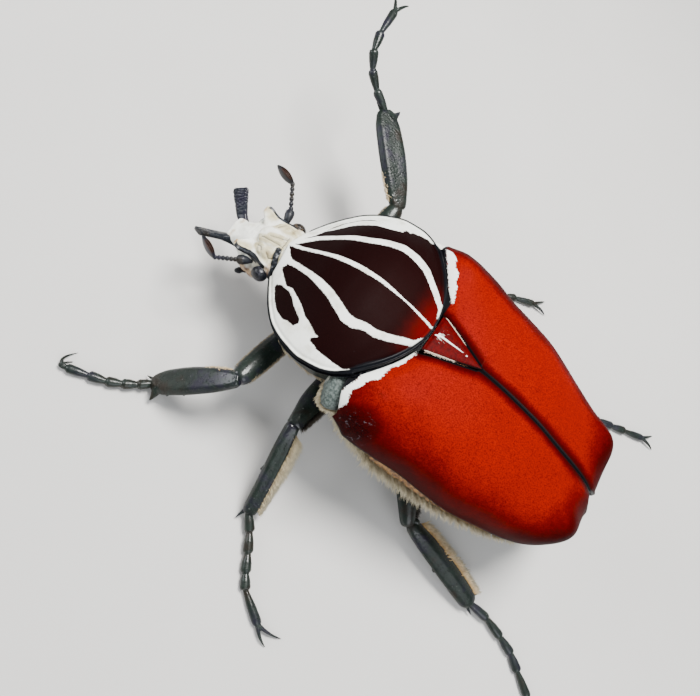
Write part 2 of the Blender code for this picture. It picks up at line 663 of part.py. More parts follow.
def build():
    clear_scene()
    beetle = new_collection("goliath_beetle")
    cutters = new_collection("cutters")
    cutters.hide_render = True
    materials = {name: new_material(name, *look) for name, look in COLOURS.items()}

    legs = {key: make_leg(key, joints, beetle, cutters, materials)
            for key, joints in LEG_JOINTS.items()}
    pronotum = make_pronotum(beetle, materials["maroon"])
    elytra = [make_elytron(f"elytron_{name}", side, beetle, materials["red"])
              for name, side in SIDES.items()]
    scutellum = make_scutellum(beetle, materials["scutellum"])
    for elytron in elytra:
        cut_clear(elytron, [scutellum, pronotum], cutters)
    cut_clear(scutellum, [pronotum], cutters)

    metathorax = trunk("metathorax", METATHORAX_ROWS, 7, (3.4, 2.4), 24, beetle, materials["belly"])
    abdomen = trunk("abdomen", ABDOMEN_ROWS, 8, (3.2, 2.6), 24, beetle, materials["belly"], VENTRITES)
    prosternum = trunk("prosternum", PROSTERNUM_ROWS, 7, (3.0, 2.2), 24, beetle, materials["belly"])
    pygidium = trunk("pygidium", PYGIDIUM_ROWS, 5, (2.2, 2.2), 16, beetle, materials["white"])
    head = make_head(beetle, materials["white"])
    cut_clear(prosternum, [pronotum], cutters)
    cut_clear(head, [pronotum, prosternum], cutters)
    cut_clear(pygidium, elytra, cutters)

    for name, side in SIDES.items():
        centre = (SIDE_PLATE_CENTRE[0], SIDE_PLATE_CENTRE[1] * side, SIDE_PLATE_CENTRE[2])
        plate = ellipsoid(f"side_plate_{name}", centre, SIDE_PLATE_RADII, beetle, materials["white"])
        near = elytra[0] if side > 0 else elytra[1]
        cut_clear(plate, [pronotum, prosternum, near, metathorax], cutters)
        eye_centre = (EYE_CENTRE[0], EYE_CENTRE[1] * side, EYE_CENTRE[2])
        eye = ellipsoid(f"eye_{name}", eye_centre, EYE_RADII, beetle, materials["eye"], 12, 8)
        cut_clear(head, [eye], cutters)
        cut_clear(eye, [pronotum, prosternum], cutters)
        horn = make_horn(f"horn_{name}", side, beetle, materials["black"])
        antenna = make_antenna(f"antenna_{name}", ANTENNA_PATHS[name], side, beetle, materials["black"])
        palp = make_palp(f"palp_{name}", side, beetle, materials["black"])
        for piece in (horn, antenna, palp):
            cut_clear(piece, [head, eye], cutters)

    for key, (coxa, femur, tibia, tarsus) in legs.items():
        trunk_part = {"fore": prosternum, "mid": metathorax, "hind": metathorax}[key.split("_")[0]]
        cut_clear(trunk_part, [coxa, femur], cutters)
        if key.startswith("hind"):
            cut_clear(abdomen, [coxa, femur], cutters)
        if key.startswith("mid"):
            cut_clear(prosternum, [coxa, femur], cutters)
    place_on_floor(beetle)


build()
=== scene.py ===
"""Looks of the goliath beetle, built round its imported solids.

Lengths in the functions are millimetres in the working frame of the solids: x towards the head,
y towards the beetle's left, z up, with zero under the middle of the pronotum's hind edge.
"""

import math

import bmesh
import bpy
import numpy as np
from mathutils import Matrix, Vector, noise


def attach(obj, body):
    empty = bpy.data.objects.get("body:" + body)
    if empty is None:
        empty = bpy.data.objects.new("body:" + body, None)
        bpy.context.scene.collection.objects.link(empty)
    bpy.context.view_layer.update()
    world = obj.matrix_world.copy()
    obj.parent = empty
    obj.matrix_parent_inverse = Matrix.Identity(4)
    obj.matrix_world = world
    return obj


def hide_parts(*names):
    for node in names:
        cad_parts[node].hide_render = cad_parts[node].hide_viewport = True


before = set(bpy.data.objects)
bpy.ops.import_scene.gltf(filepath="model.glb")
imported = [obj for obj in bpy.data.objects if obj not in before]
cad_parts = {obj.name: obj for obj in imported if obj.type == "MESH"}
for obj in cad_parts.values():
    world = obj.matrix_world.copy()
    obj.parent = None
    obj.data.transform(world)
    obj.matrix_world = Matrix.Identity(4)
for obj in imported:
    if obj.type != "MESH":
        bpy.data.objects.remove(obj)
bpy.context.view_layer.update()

MM = 0.001
SHIFT = np.array((10.5, 0.8, 2.0))
FLOOR_Z = -2.0
SIDES = {"left": 1, "right": -1}
RNG = np.random.default_rng(11)

# Camera: place and axes of the view, in metres and as unit vectors
CAMERA_PLACE = (0.032034, 0.062459, 0.122060)
CAMERA_RIGHT = (-0.75610567, -0.53181193, 0.38141877)
CAMERA_DOWN = (-0.64433714, 0.70698254, -0.29155675)
CAMERA_FORWARD = (-0.11460306, -0.46620999, -0.87721969)
CAMERA_LENS = 34.457
CAMERA_NEAREST = 0.002

# Pronotum: rows of run from hind edge to front edge, half width, rim height, middle height
PRONOTUM_ROWS = (
    (0.00, 14.9, 26.6, 28.2), (0.12, 16.8, 24.9, 28.8), (0.25, 17.6, 23.9, 29.2),
    (0.38, 17.7, 22.9, 29.2), (0.55, 16.7, 21.4, 28.2), (0.71, 14.8, 19.7, 25.9),
    (0.82, 12.4, 18.4, 23.1), (0.92, 9.4, 17.2, 20.5), (1.00, 6.4, 16.2, 18.9),
)
PRONOTUM_HIND_CORNER_X = 6.7
PRONOTUM_FRONT_X = 28.0
PRONOTUM_FRONT_CORNER_X = 26.6
PRONOTUM_CROWN_POWER = 2.5
PRONOTUM_THICKNESS = 1.1
# Breadth of the black rim along the hind edge, by share of the half width
RIM_BREADTHS = ((-0.95, -0.3, 0.1, 0.3, 0.75, 0.95), (1.2, 1.0, 1.1, 1.5, 2.1, 1.4))

# Pronotum markings: run, share of half width, half width of the stripe on the surface
MEDIAN_STRIPE = (
    (1.02, 0.0, 0.36), (0.80, 0.0, 0.35), (0.64, 0.0, 0.47), (0.55, 0.0, 0.46),
    (0.38, 0.0, 0.33), (0.25, 0.0, 0.14), (0.12, 0.0, 0.23), (0.015, 0.0, 0.25),
)
DISCAL_STRIPES = {
    "left": ((0.975, 0.33, 0.62), (0.93, 0.365, 0.52), (0.881, 0.341, 0.49), (0.794, 0.352, 0.49),
             (0.703, 0.387, 0.67), (0.616, 0.423, 0.73), (0.534, 0.468, 0.77), (0.446, 0.511, 0.85),
             (0.387, 0.508, 0.81), (0.319, 0.464, 0.66), (0.248, 0.458, 0.66), (0.167, 0.408, 0.61),
             (0.099, 0.347, 0.58), (0.037, 0.30, 0.52), (0.015, 0.19, 0.33)),
    "right": ((0.976, -0.10, 0.5), (0.945, -0.24, 0.62), (0.90, -0.333, 0.66), (0.814, -0.351, 0.58),
              (0.712, -0.379, 0.66), (0.631, -0.397, 0.72), (0.52, -0.463, 0.76), (0.405, -0.497, 0.88),
              (0.312, -0.50, 0.95), (0.22, -0.464, 0.85), (0.152, -0.397, 0.74), (0.077, -0.32, 0.68),
              (0.016, -0.269, 0.55), (0.012, -0.16, 0.38)),
}
# Outer limit of the dark field on each side, then the pale border out to the rim
FIELD_LIMITS = {
    "left": ((1.05, 0.30), (0.975, 0.42), (0.952, 0.56), (0.942, 0.589), (0.882, 0.646), (0.846, 0.668),
             (0.808, 0.628), (0.745, 0.654), (0.677, 0.687), (0.617, 0.730), (0.547, 0.748),
             (0.485, 0.776), (0.449, 0.775), (0.462, 0.80), (0.476, 0.824), (0.455, 0.842),
             (0.412, 0.845), (0.391, 0.857), (0.330, 0.866), (0.264, 0.872), (0.186, 0.888),
             (0.121, 0.906), (0.09, 0.885), (0.055, 0.865), (0.062, 0.93), (0.02, 1.04)),
    "right": ((1.05, -0.22), (0.962, -0.33), (0.926, -0.42), (0.898, -0.571), (0.842, -0.604),
              (0.778, -0.662), (0.646, -0.705), (0.55, -0.704), (0.453, -0.729), (0.42, -0.79),
              (0.385, -0.78), (0.36, -0.82), (0.278, -0.863), (0.17, -0.91), (0.099, -0.945),
              (0.05, -0.985), (0.02, -1.04)),
}
# Dark spot in the left border and dark line in the right one
SPOTS = {
    "left": ((0.911, 0.843), (0.909, 0.786), (0.877, 0.714), (0.812, 0.679), (0.769, 0.694),
             (0.716, 0.737), (0.625, 0.778), (0.605, 0.81), (0.619, 0.852), (0.671, 0.866),
             (0.693, 0.885), (0.781, 0.901), (0.844, 0.887)),
    "right": ((0.897, -0.575), (0.86, -0.68), (0.819, -0.775), (0.740, -0.80), (0.616, -0.822),
              (0.573, -0.79), (0.60, -0.812), (0.66, -0.842), (0.745, -0.825), (0.825, -0.80),
              (0.868, -0.71)),
}
FRONT_MARGIN = ((-1.0, 0.93), (-0.42, 0.945), (-0.25, 0.968), (-0.06, 0.982), (0.02, 0.995),
                (0.09, 0.987), (0.2, 0.965), (0.33, 0.934), (0.47, 0.936), (0.56, 0.952), (1.0, 0.94))

# Elytra: rows of x, half width, edge height, top height
ELYTRA_ROWS = (
    (4.4, 20.2, 19.2, 26.6), (1.5, 21.3, 18.4, 27.8), (-5.0, 20.8, 18.3, 28.6),
    (-12.0, 19.7, 17.1, 28.8), (-21.0, 19.1, 16.2, 28.1), (-30.0, 17.1, 15.4, 26.2),
    (-37.5, 14.8, 15.2, 24.3), (-42.3, 10.9, 14.9, 22.0), (-45.0, 5.6, 15.2, 19.2),
    (-46.0, 4.0, 15.6, 17.2),
)
ELYTRON_POWER = 3.8
# Swellings near the tip and at the shoulder: x, y, height, breadth
ELYTRON_BUMPS = ((-41.5, 10.6, 2.7, 4.3), (0.5, 16.5, 0.7, 3.0))
ELYTRON_THICKNESS = 0.9
ELYTRON_TUCK = 0.35
SUTURE_GAP = 0.05
APEX_SPLIT_X = -42.4
APEX_SPLIT = 2.3
# White patch along the base of each elytron: distance from the middle, how far back it reaches
BASE_PATCHES = {
    "left": ((4.3, -0.4), (5.0, -0.07), (6.8, 0.5), (8.7, 1.06), (9.6, 1.87), (11.0, 2.4), (13.1, 2.6),
             (14.6, 3.9), (16.1, 4.5), (17.4, 5.0), (18.3, 4.6), (19.0, 4.2), (19.7, 4.5)),
    "right": ((7.1, -0.3), (7.4, -0.45), (9.1, 0.35), (10.3, 0.7), (11.6, 1.6), (13.0, 1.9), (13.5, 2.8),
              (14.3, 3.4), (15.3, 3.7), (16.6, 4.8)),
}
# Front edge of the same patches, with a dark gap ahead of it: the elytron's black base and a painted shadow
# under the pronotum's hind edge
BASE_FRONTS = {
    "left": ((4.3, 1.2), (12.9, 5.4), (14.0, 5.3), (15.0, 5.4), (16.4, 5.7), (18.0, 6.2), (19.7, 6.0)),
    "right": ((7.1, -0.1), (7.4, 0.0), (9.4, 1.6), (12.2, 3.4), (15.0, 5.4), (16.6, 6.0)),
}

# Scutellum, a long triangle between the elytra: x, half width and height at its base and its tip
SCUTELLUM_BASE = (-0.2, 4.1, 28.0)
SCUTELLUM_TIP = (-10.3, 0.25, 28.9)
SCUTELLUM_SPREAD = 1.1
SCUTELLUM_DEPTH = 1.6
# White lines on the scutellum: x, y, half width
SCUTELLUM_WHITE = (
    ((-1.2, -0.05, 0.17), (-3.0, -0.15, 0.16), (-5.0, -0.22, 0.11), (-6.2, -0.25, 0.04)),
    ((-6.95, -0.15, 0.12), (-7.05, -0.15, 0.12)),
    ((-0.7, 0.3, 0.12), (-1.3, 0.1, 0.2), (-1.9, -0.3, 0.12)),
    ((-1.1, -0.3, 0.1), (-2.0, -0.7, 0.04)), ((-1.2, 0.4, 0.1), (-2.1, 0.55, 0.04)),
)

# Height of the elytra's lower edge, by x
ELYTRA_SHELF = ((-46, -37.5, -21, -12, -5, 1.5), (15.2, 15.2, 16.2, 17.1, 18.3, 18.4))
# Trunk under the plates: rows of x, half width, side height, top height, bottom height
TRUNK_ROWS = (
    (-43.4, 6.0, 13.8, 16.8, 10.0), (-42.0, 8.2, 13.8, 18.8, 9.2), (-37.5, 12.2, 14.0, 21.4, 7.9),
    (-30.0, 15.0, 14.2, 23.2, 6.9), (-21.0, 16.9, 14.6, 25.0, 6.5), (-12.5, 18.0, 15.2, 25.6, 6.5),
    (-6.0, 18.6, 16.0, 25.2, 6.7), (-1.0, 18.3, 16.8, 24.0, 7.3), (3.0, 16.6, 17.4, 22.8, 8.4),
    (6.8, 14.2, 18.6, 22.4, 9.6), (11.0, 15.2, 18.6, 22.4, 8.6), (16.0, 14.6, 17.6, 21.6, 7.8),
    (21.0, 11.8, 16.0, 19.0, 8.0), (24.5, 8.2, 14.9, 16.6, 8.8), (26.4, 5.4, 14.4, 16.0, 9.8),
)
# Seams across the underside, each a shallow groove: place along the body, depth
TRUNK_SEAMS = ((6.9, 1.3), (-12.6, 0.7), (-18.9, 0.35), (-25.1, 0.35), (-31.3, 0.35), (-37.4, 0.4))
PYGIDIUM_ROWS = (
    (-43.6, 8.2, 12.8, 17.6, 9.0), (-45.4, 7.0, 12.4, 16.8, 9.2), (-46.8, 4.9, 12.2, 15.4, 9.9),
    (-47.4, 2.2, 12.0, 13.6, 10.9),
)

SIDE_PLATE_PATH = ((5.9, 11.5, 22.4), (6.2, 14.0, 22.2), (6.3, 16.6, 21.4), (6.0, 18.3, 20.2),
                   (5.5, 19.2, 19.4))
# Profiles: shares of a path, then the half widths and half depths there
SIDE_PLATE_PROFILE = ((0, 0.5, 0.9, 1), (2.4, 2.3, 1.6, 0.6), (2.6, 2.8, 2.2, 0.9))

# Head: rows of x, half width, side height, top height, bottom height
HEAD_ROWS = (
    (25.0, 4.9, 14.9, 17.4, 10.6), (27.6, 5.2, 14.6, 18.0, 9.8), (29.5, 5.0, 13.8, 17.7, 9.3),
    (32.0, 4.5, 12.5, 16.4, 9.1), (34.0, 3.5, 11.5, 14.9, 9.1), (35.6, 2.7, 10.9, 13.4, 9.2),
    (37.0, 2.3, 10.5, 12.0, 9.4), (38.1, 1.9, 10.4, 11.2, 9.8),
)
# Swellings of the head, each a centre and three radii: one in the middle, then those of each side
HEAD_CROWN = ((30.0, 0, 16.2), (3.4, 2.7, 1.8))
HEAD_SWELLS = (
    ((29.6, 2.6, 16.1), (2.2, 1.7, 1.3)), ((27.6, 4.3, 14.9), (1.8, 1.5, 1.9)),
    ((36.8, 1.7, 10.8), (1.3, 0.95, 0.8)), ((33.6, 3.3, 12.6), (1.5, 1.25, 1.5)),
    ((31.6, 4.6, 11.7), (1.7, 1.35, 1.3)), ((29.9, 4.7, 11.5), (1.4, 1.25, 1.5)),
)
# Lobes over the antennae's roots: rows of x, inner and outer edge, height, half thickness
LOBE_ROWS = (
    (27.4, 0.8, 5.3, 15.7, 1.0), (29.0, 1.0, 5.3, 15.5, 0.85), (30.5, 1.2, 5.15, 15.3, 0.72),
    (32.0, 1.4, 5.05, 15.1, 0.6), (33.3, 1.7, 5.35, 14.95, 0.5), (34.0, 2.4, 5.6, 14.9, 0.45),
    (34.5, 3.0, 5.65, 15.0, 0.42), (35.0, 3.6, 5.45, 15.1, 0.38), (35.45, 4.0, 5.05, 15.2, 0.26),
)
LOBE_RAISE = 0.35
HEAD_CRACKS = (
    ((32.4, 1.4), (31.1, 1.35), (29.8, 1.1), (28.9, 0.8)),
    ((31.7, -1.9), (31.2, -2.7), (30.8, -3.4), (30.3, -4.1)),
    ((31.9, 2.7), (31.3, 3.0), (30.9, 3.5)), ((31.3, 0.6), (30.3, 0.1), (29.4, -0.4), (28.6, -0.9)),
    ((28.5, -1.4), (28.35, 0.0), (28.45, 1.5)), ((29.9, 3.4), (29.0, 3.9), (28.3, 3.6)),
)
# Dark collar along the head's hind edge, in plan
HEAD_COLLAR = ((28.55, 1.7), (28.2, 2.9), (27.6, 4.0), (27.0, 5.0), (26.6, 5.7))
# Brown places at the mouth, the lobes' ends and beside the eyes: strength, path, half width
WARM_SPOTS = (
    (0.62, ((37.3, 1.2, 11.5), (37.3, 2.8, 11.2)), 0.55),
    (0.9, ((35.25, 4.2, 15.3), (35.3, 4.9, 15.3)), 0.3),
    (0.95, ((28.0, 5.0, 16.0), (27.2, 5.3, 15.2)), 0.95),
)
# Cream along each lobe's top, partly painted shade of its hollow
CREAM_AND_SHADE_PATH = ((34.9, 4.6, 15.4), (33.0, 4.0, 15.3))
EYE_CENTRE = (28.5, 6.0, 14.5)
EYE_RADII = (1.5, 1.3, 1.48)
HORN_PATH = ((35.4, 1.45, 10.4), (36.6, 2.0, 10.3), (38.3, 3.05, 10.6), (40.1, 4.75, 11.5),
             (41.7, 6.35, 12.3))
HORN_PROFILE = ((0, 0.25, 0.5, 0.75, 0.93, 0.985, 1), (0.72, 0.76, 1.04, 1.36, 1.55, 1.48, 1.2),
                (1.25, 0.95, 0.62, 0.52, 0.55, 0.5, 0.32))
PALP_PROFILE = ((0, 0.45, 0.52, 0.75, 0.95, 1), (0.45, 0.55, 0.4, 0.62, 0.4, 0.15))
SCAPE_PROFILE = ((0, 0.12, 0.35, 0.62, 0.86, 0.96, 1), (0.3, 0.4, 0.7, 0.9, 0.84, 0.55, 0.2))
TARSAL_PROFILE = ((0, 0.1, 0.5, 0.86, 0.96, 1), (0.42, 0.56, 0.88, 0.98, 0.84, 0.5),
                  (0.4, 0.54, 0.82, 0.88, 0.74, 0.42))
STEM_BEADS = 6
ANTENNA_PATHS = {
    "left": ((30.9, 5.0, 14.2), (33.0, 6.6, 14.3), (36.1, 9.3, 14.6), (39.9, 7.8, 14.9)),
    "right": ((30.9, -5.0, 14.2), (31.9, -8.0, 14.8), (35.1, -12.7, 15.2), (39.3, -13.4, 15.4)),
}
PALP_PATH = ((30.2, 3.4, 9.7), (31.4, 5.2, 9.95), (32.4, 6.7, 10.6))

# Legs: coxa, knee, end of tibia, then the end of each of the five tarsal segments
LEG_JOINTS = {
    "fore_left": ((17.0, 6.0, 10.0), (19.6, 23.1, 12.5), (30.4, 29.0, -0.6), (32.1, 30.7, -0.8),
                  (34.2, 32.3, -0.9), (36.5, 33.7, -1.0), (39.4, 34.8, -1.1), (43.0, 36.1, -1.2)),
    "fore_right": ((17.0, -6.4, 10.0), (17.2, -24.3, 16.3), (31.4, -37.0, 20.2), (34.9, -38.0, 21.5),
                   (38.0, -39.5, 23.2), (40.2, -41.7, 25.1), (41.5, -45.2, 26.2), (42.4, -51.1, 27.1)),
    "mid_left": ((6.4, 6.1, 8.4), (6.8, 22.1, 9.0), (2.6, 36.3, -0.2), (0.4, 38.6, -0.7),
                 (-1.6, 41.6, -1.0), (-3.3, 44.4, -1.1), (-5.0, 46.7, -1.2), (-10.2, 49.9, -1.2)),
    "mid_right": ((6.4, -6.1, 8.4), (1.0, -22.5, 9.5), (-9.0, -33.0, -0.2), (-11.5, -35.3, -0.7),
                  (-14.0, -37.8, -1.0), (-16.3, -40.0, -1.1), (-18.6, -41.8, -1.2), (-23.2, -44.2, -1.2)),
    "hind_left": ((-10.8, 6.9, 8.2), (-23.8, 20.0, 3.2), (-43.3, 23.4, -0.5), (-48.0, 23.5, -0.8),
                  (-52.4, 24.6, -1.0), (-56.1, 25.8, -1.1), (-59.1, 27.7, -1.2), (-63.3, 30.4, -1.2)),
    "hind_right": ((-10.8, -6.9, 8.2), (-24.5, -20.0, 3.2), (-43.0, -26.8, -0.5), (-47.4, -28.8, -0.8),
                   (-51.6, -30.9, -1.0), (-55.4, -32.3, -1.1), (-59.0, -33.8, -1.2), (-64.0, -35.7, -1.2)),
}
COXA_RADII = {"fore": (2.6, 4.4, 3.2), "mid": (2.6, 4.4, 2.4), "hind": (2.8, 5.2, 2.2)}
# Limbs: share along the limb, half width, half depth
MID_FEMUR = ((0.0, 1.2, 1.1), (0.15, 2.0, 1.7), (0.5, 2.3, 1.8), (0.8, 1.75, 1.5), (0.93, 1.45, 1.3),
             (0.98, 1.2, 1.05), (1.0, 0.8, 0.7))
FEMUR_PROFILES = {
    "fore": ((0.0, 1.2, 1.1), (0.15, 2.0, 1.7), (0.5, 2.2, 1.8), (0.82, 2.05, 1.6), (0.93, 1.75, 1.4),
             (0.98, 1.4, 1.15), (1.0, 0.9, 0.8)),
    "mid": MID_FEMUR, "hind": MID_FEMUR,
}
TIBIA_PROFILES = {
    "fore": ((0.0, 1.0, 0.8), (0.03, 1.4, 0.95), (0.12, 1.8, 1.0), (0.3, 2.25, 1.1), (0.55, 2.45, 1.15),
             (0.8, 2.3, 1.05), (0.93, 1.85, 0.9), (0.98, 1.45, 0.8), (1.0, 1.0, 0.6)),
    "mid": ((0.0, 1.0, 0.85), (0.03, 1.3, 1.05), (0.12, 1.4, 1.15), (0.3, 1.5, 1.25), (0.6, 1.45, 1.25),
            (0.93, 1.4, 1.2), (0.985, 1.25, 1.05), (1.0, 0.95, 0.75)),
    "hind": ((0.0, 1.05, 0.9), (0.03, 1.4, 1.1), (0.12, 1.7, 1.2), (0.3, 1.95, 1.3), (0.6, 2.1, 1.4),
             (0.93, 1.95, 1.5), (0.985, 1.55, 1.25), (1.0, 1.0, 0.8)),
}
# Ridges along a limb: strength, then each one's angle, angular width and size
FEMUR_RIDGES = (0.07, ((1.57, 0.5, 1.0), (3.14, 0.3, -0.8), (0.0, 0.3, -0.8), (0.75, 0.2, -0.5)))
TIBIA_RIDGES = (0.1, ((0.9, 0.28, 1.0), (2.2, 0.28, 1.0), (1.57, 0.3, -0.7), (3.1, 0.3, 0.5),
                      (0.0, 0.3, 0.5)))
HIND_TIBIA_RIDGES = (0.16, ((1.57, 0.2, 1.0), (0.75, 0.4, -0.5), (2.4, 0.4, -0.5), (3.1, 0.3, 0.4),
                            (0.0, 0.3, 0.4)))
# Teeth on a tibia's outer edge: share along it, reach, radius at the root
TIBIA_TEETH = {
    "fore": ((0.55, 0.2, 0.6), (0.76, 0.25, 0.65), (0.96, 1.5, 1.15)),
    "mid": ((0.5, 0.3, 0.7),),
    "hind": ((0.45, 0.35, 0.7),),
}
# How far the tips of a foot's claws bend aside, how strongly they curl, and their spread
CLAW_HOOKS = {"fore_left": ((-0.6, -2.9, 0.0), 1.35, 0.2), "mid_left": ((-1.2, -1.2, 0.0), 0.5, 0.36)}
CONDYLE_RADII = (0.85, 0.75, 1.0)
# How far the end of a femur lies beside the knee
KNEE_SHIFTS = {"hind_left": np.array((0.9, 0.7, 0))}
# Extra gloss of the shell: how far it reaches round a knee, and how strong it is on a tarsus
KNEE_SHINE_REACH = 2.6
TARSUS_SHINE = 0.4
# Punctures: distance between them, depth
FEMUR_PITS = (0.55, 0.06)
TIBIA_PITS = {"fore": (0.42, 0.13), "mid": (0.42, 0.1), "hind": (0.42, 0.1)}
# The raised foot is above this height, and its tibia broader than the other fore tibia
RAISED_FOOT_Z = 10
RAISED_TIBIA_BREADTH = 1.15
# Spurs at a tibia's end: how far they reach along and inward, and how far inward their root lies
TIBIA_SPURS = {
    "fore": ((1.9, 1.6, 0.5),),
    "mid": ((1.9, 1.1, 0.5), (1.9, -1.8, -0.2)),
    "hind": ((0.6, 3.2, 0.9), (2.2, -1.2, -0.4)),
}
SPUR_RADIUS = 0.52
SPUR_FLOOR_CLEARANCE = 0.5
TARSAL_SPINE_RADIUS = 0.3
CLAW_LENGTH = 4.4
CLAW_RADIUS = 0.52
CLAW_SPREAD = 0.42

# Points of the sheets, by rows and columns, and voxel size and rounds of smoothing of the joined skins
PRONOTUM_GRID = (150, 211)
ELYTRON_GRID = (180, 100)
SCUTELLUM_GRID = (120, 65)
REMESHES = {"head": (0.11, 5), "femur": (0.155, 3), "tibia": (0.145, 3), "tarsus": (0.12, 2)}

# Fringes of the legs: share along the limb from and to, hair length at each end, tufts, look, side
LEG_FRINGES = {
    ("fore", "tibia"): ((0.03, 0.36, 0.9, 0.5, 160, "hair_gold", -1),),
    ("mid", "tibia"): ((0.04, 0.96, 3.0, 1.4, 1500, "hair", -1),),
    ("hind", "tibia"): ((0.03, 0.97, 2.7, 2.1, 2100, "hair_gold", -1),),
    ("fore", "femur"): ((0.25, 0.93, 0.6, 0.45, 340, "hair_sand", 1),
                        (0.25, 0.93, 0.7, 0.5, 340, "hair_sand", -1)),
    ("mid", "femur"): ((0.2, 0.93, 1.8, 1.4, 650, "hair_brown", -1),),
    ("hind", "femur"): ((0.2, 0.95, 1.8, 1.4, 650, "hair_brown", -1),),
}
# Rings of a hair: how far along it, share of its radius
HAIR_STEPS = ((0.0, 1.0), (0.58, 0.78))
# Spread of the hairs' directions, depth of their roots, and breadth of their patch on the unwrap
HAIR_DISORDER = 0.13
HAIR_ROOT_DEPTH = 0.14
HAIR_PATCH = 0.003
REAR = np.array((-1.0, 0, 0))
UP = np.array((0, 0, 1.0))

# Lights: name, place and size in metres, power, tint
LIGHTS = (
    ("key", (0.03, -0.10, 0.36), 0.16, 3.6, (1.0, 0.985, 0.96)),
    ("fill", (-0.22, 0.22, 0.26), 0.3, 0.9, (0.93, 0.96, 1.0)),
    ("front", (0.34, 0.10, 0.16), 0.2, 0.8, (0.95, 0.97, 1.0)),
)
LIGHT_AIM = (0, 0, 0.015)
WORLD_TINT = (0.93, 0.96, 1.0, 1)
WORLD_STRENGTH = 0.42
FLOOR_HALF = 900.0
FLOOR_DROP = 0.02


# Curves and solids

def tangent(keys, at, column):
    """Slope of a column at one of the keys, zero where it turns back."""
    slopes = [(keys[k + 1][column] - keys[k][column]) / (keys[k + 1][0] - keys[k][0])
              for k in range(max(at - 1, 0), min(at + 1, len(keys) - 1))]
    before, after = slopes[0], slopes[-1]
    if len(slopes) == 1:
        return before
    return 2 * before * after / (before + after) if before * after > 0 else 0.0


def smooth(keys, x):
    """Arrays of every column of the keys at x, along smooth curves through the rows."""
    if keys[0][0] > keys[-1][0]:
        keys = keys[::-1]
    places = np.array([key[0] for key in keys])
    x = np.clip(np.asarray(x, float), places[0], places[-1])
    at = np.clip(np.searchsorted(places, x, side="right") - 1, 0, len(keys) - 2)
    step = places[at + 1] - places[at]
    t = (x - places[at]) / step
    values = []
    for column in range(1, len(keys[0])):
        level = np.array([key[column] for key in keys])
        slope = np.array([tangent(keys, i, column) for i in range(len(keys))])
        values.append((2 * t**3 - 3 * t**2 + 1) * level[at] + (t**3 - 2 * t**2 + t) * step * slope[at]
                      + (3 * t**2 - 2 * t**3) * level[at + 1] + (t**3 - t**2) * step * slope[at + 1])
    return values


def bell(value, width):
    return np.exp(-(value / width) ** 2)


def ramp(value, low, high):
    """Straight rise of an array from 0 at low to 1 at high."""
    return np.clip((value - low) / (high - low), 0, 1)


def rise(value, low, high):
    """Smooth rise of an array from 0 at low to 1 at high."""
    t = ramp(value, low, high)
    return t * t * (3 - 2 * t)


def rounded(value, power):
    """Sine or cosine of a circle turned into that of a superellipse."""
    return np.sign(value) * np.abs(value) ** (2 / power)


def around(sides):
    return 2 * np.pi * (np.arange(sides) + 0.5) / sides


def unit(vectors):
    return vectors / np.maximum(np.linalg.norm(vectors, axis=-1, keepdims=True), 1e-9)


def mirrored(points, side):
    return np.array(points, float) * (1, side, 1)


def to_metres(points):
    return (np.asarray(points, float) + SHIFT) * MM


def grid(rows, columns):
    """Every pair of a row's and a column's value, as two flat arrays."""
    return [values.ravel() for values in np.meshgrid(rows, columns, indexing="ij")]


def grid_quads(rows, columns, closed=False):
    """Faces between neighbouring rows of a grid of points."""
    i = np.arange(rows - 1)[:, None]
    j = np.arange(columns if closed else columns - 1)[None, :]
    near, far = i * columns + j, i * columns + (j + 1) % columns
    return np.stack([near, far, far + columns, near + columns], -1).reshape(-1, 4)


def profiled(profile, shares):
    """Sizes at each share of a path, from the shares and sizes of a profile."""
    return [np.interp(shares, profile[0], keys) for keys in profile[1:]]


def dense(line, parts=6):
    """A path with more points on each of its straight lengths."""
    line = np.asarray(line, float)
    steps = np.linspace(0, 1, parts, endpoint=False)[:, None]
    lengths = [a + (b - a) * steps for a, b in zip(line, line[1:])]
    return np.concatenate(lengths + [line[-1:]])


def tube_points(path, widths, depths, sides, up=(0, 0, 1), power=2.0, relief=None):
    """Rings of points along a path, each a superellipse, as an array of rings by sides by 3."""
    path = np.asarray(path, float)
    ahead = unit(np.gradient(path, axis=0))
    sideways = unit(np.cross(ahead, np.asarray(up, float)))
    upward = np.cross(sideways, ahead)
    turn = around(sides)
    factor = 1.0 if relief is None else relief(len(path), turn)
    across = np.asarray(widths)[:, None] * rounded(np.cos(turn), power) * factor
    height = np.asarray(depths)[:, None] * rounded(np.sin(turn), power) * factor
    return path[:, None] + sideways[:, None] * across[..., None] + upward[:, None] * height[..., None]


def tube_mesh(rings):
    """Points and faces of a closed tube through rings, with a cap at each end."""
    count, sides = rings.shape[:2]
    points = np.concatenate([rings.reshape(-1, 3), rings[0].mean(0)[None], rings[-1].mean(0)[None]])
    near = np.arange(sides)
    far = (near + 1) % sides
    last_ring = (count - 1) * sides
    first = np.full(sides, count * sides)
    caps = np.stack([first, far, near, first + 1, last_ring + near, last_ring + far], -1)
    return points, [grid_quads(count, sides, True), caps.reshape(-1, 3)]


def tube(path, widths, depths, sides, **settings):
    return tube_mesh(tube_points(path, widths, depths, sides, **settings))


def ellipsoid(centre, radii, rings=24, sides=32, power=2.0):
    polar = np.linspace(0, np.pi, rings + 2)[1:-1, None]
    turn = 2 * np.pi * np.arange(sides) / sides
    out = np.sin(polar)
    ring = np.stack([np.cos(polar) + 0 * turn, out * np.cos(turn), out * np.sin(turn)], -1)
    return tube_mesh(rounded(ring, power) * np.asarray(radii) + np.asarray(centre))


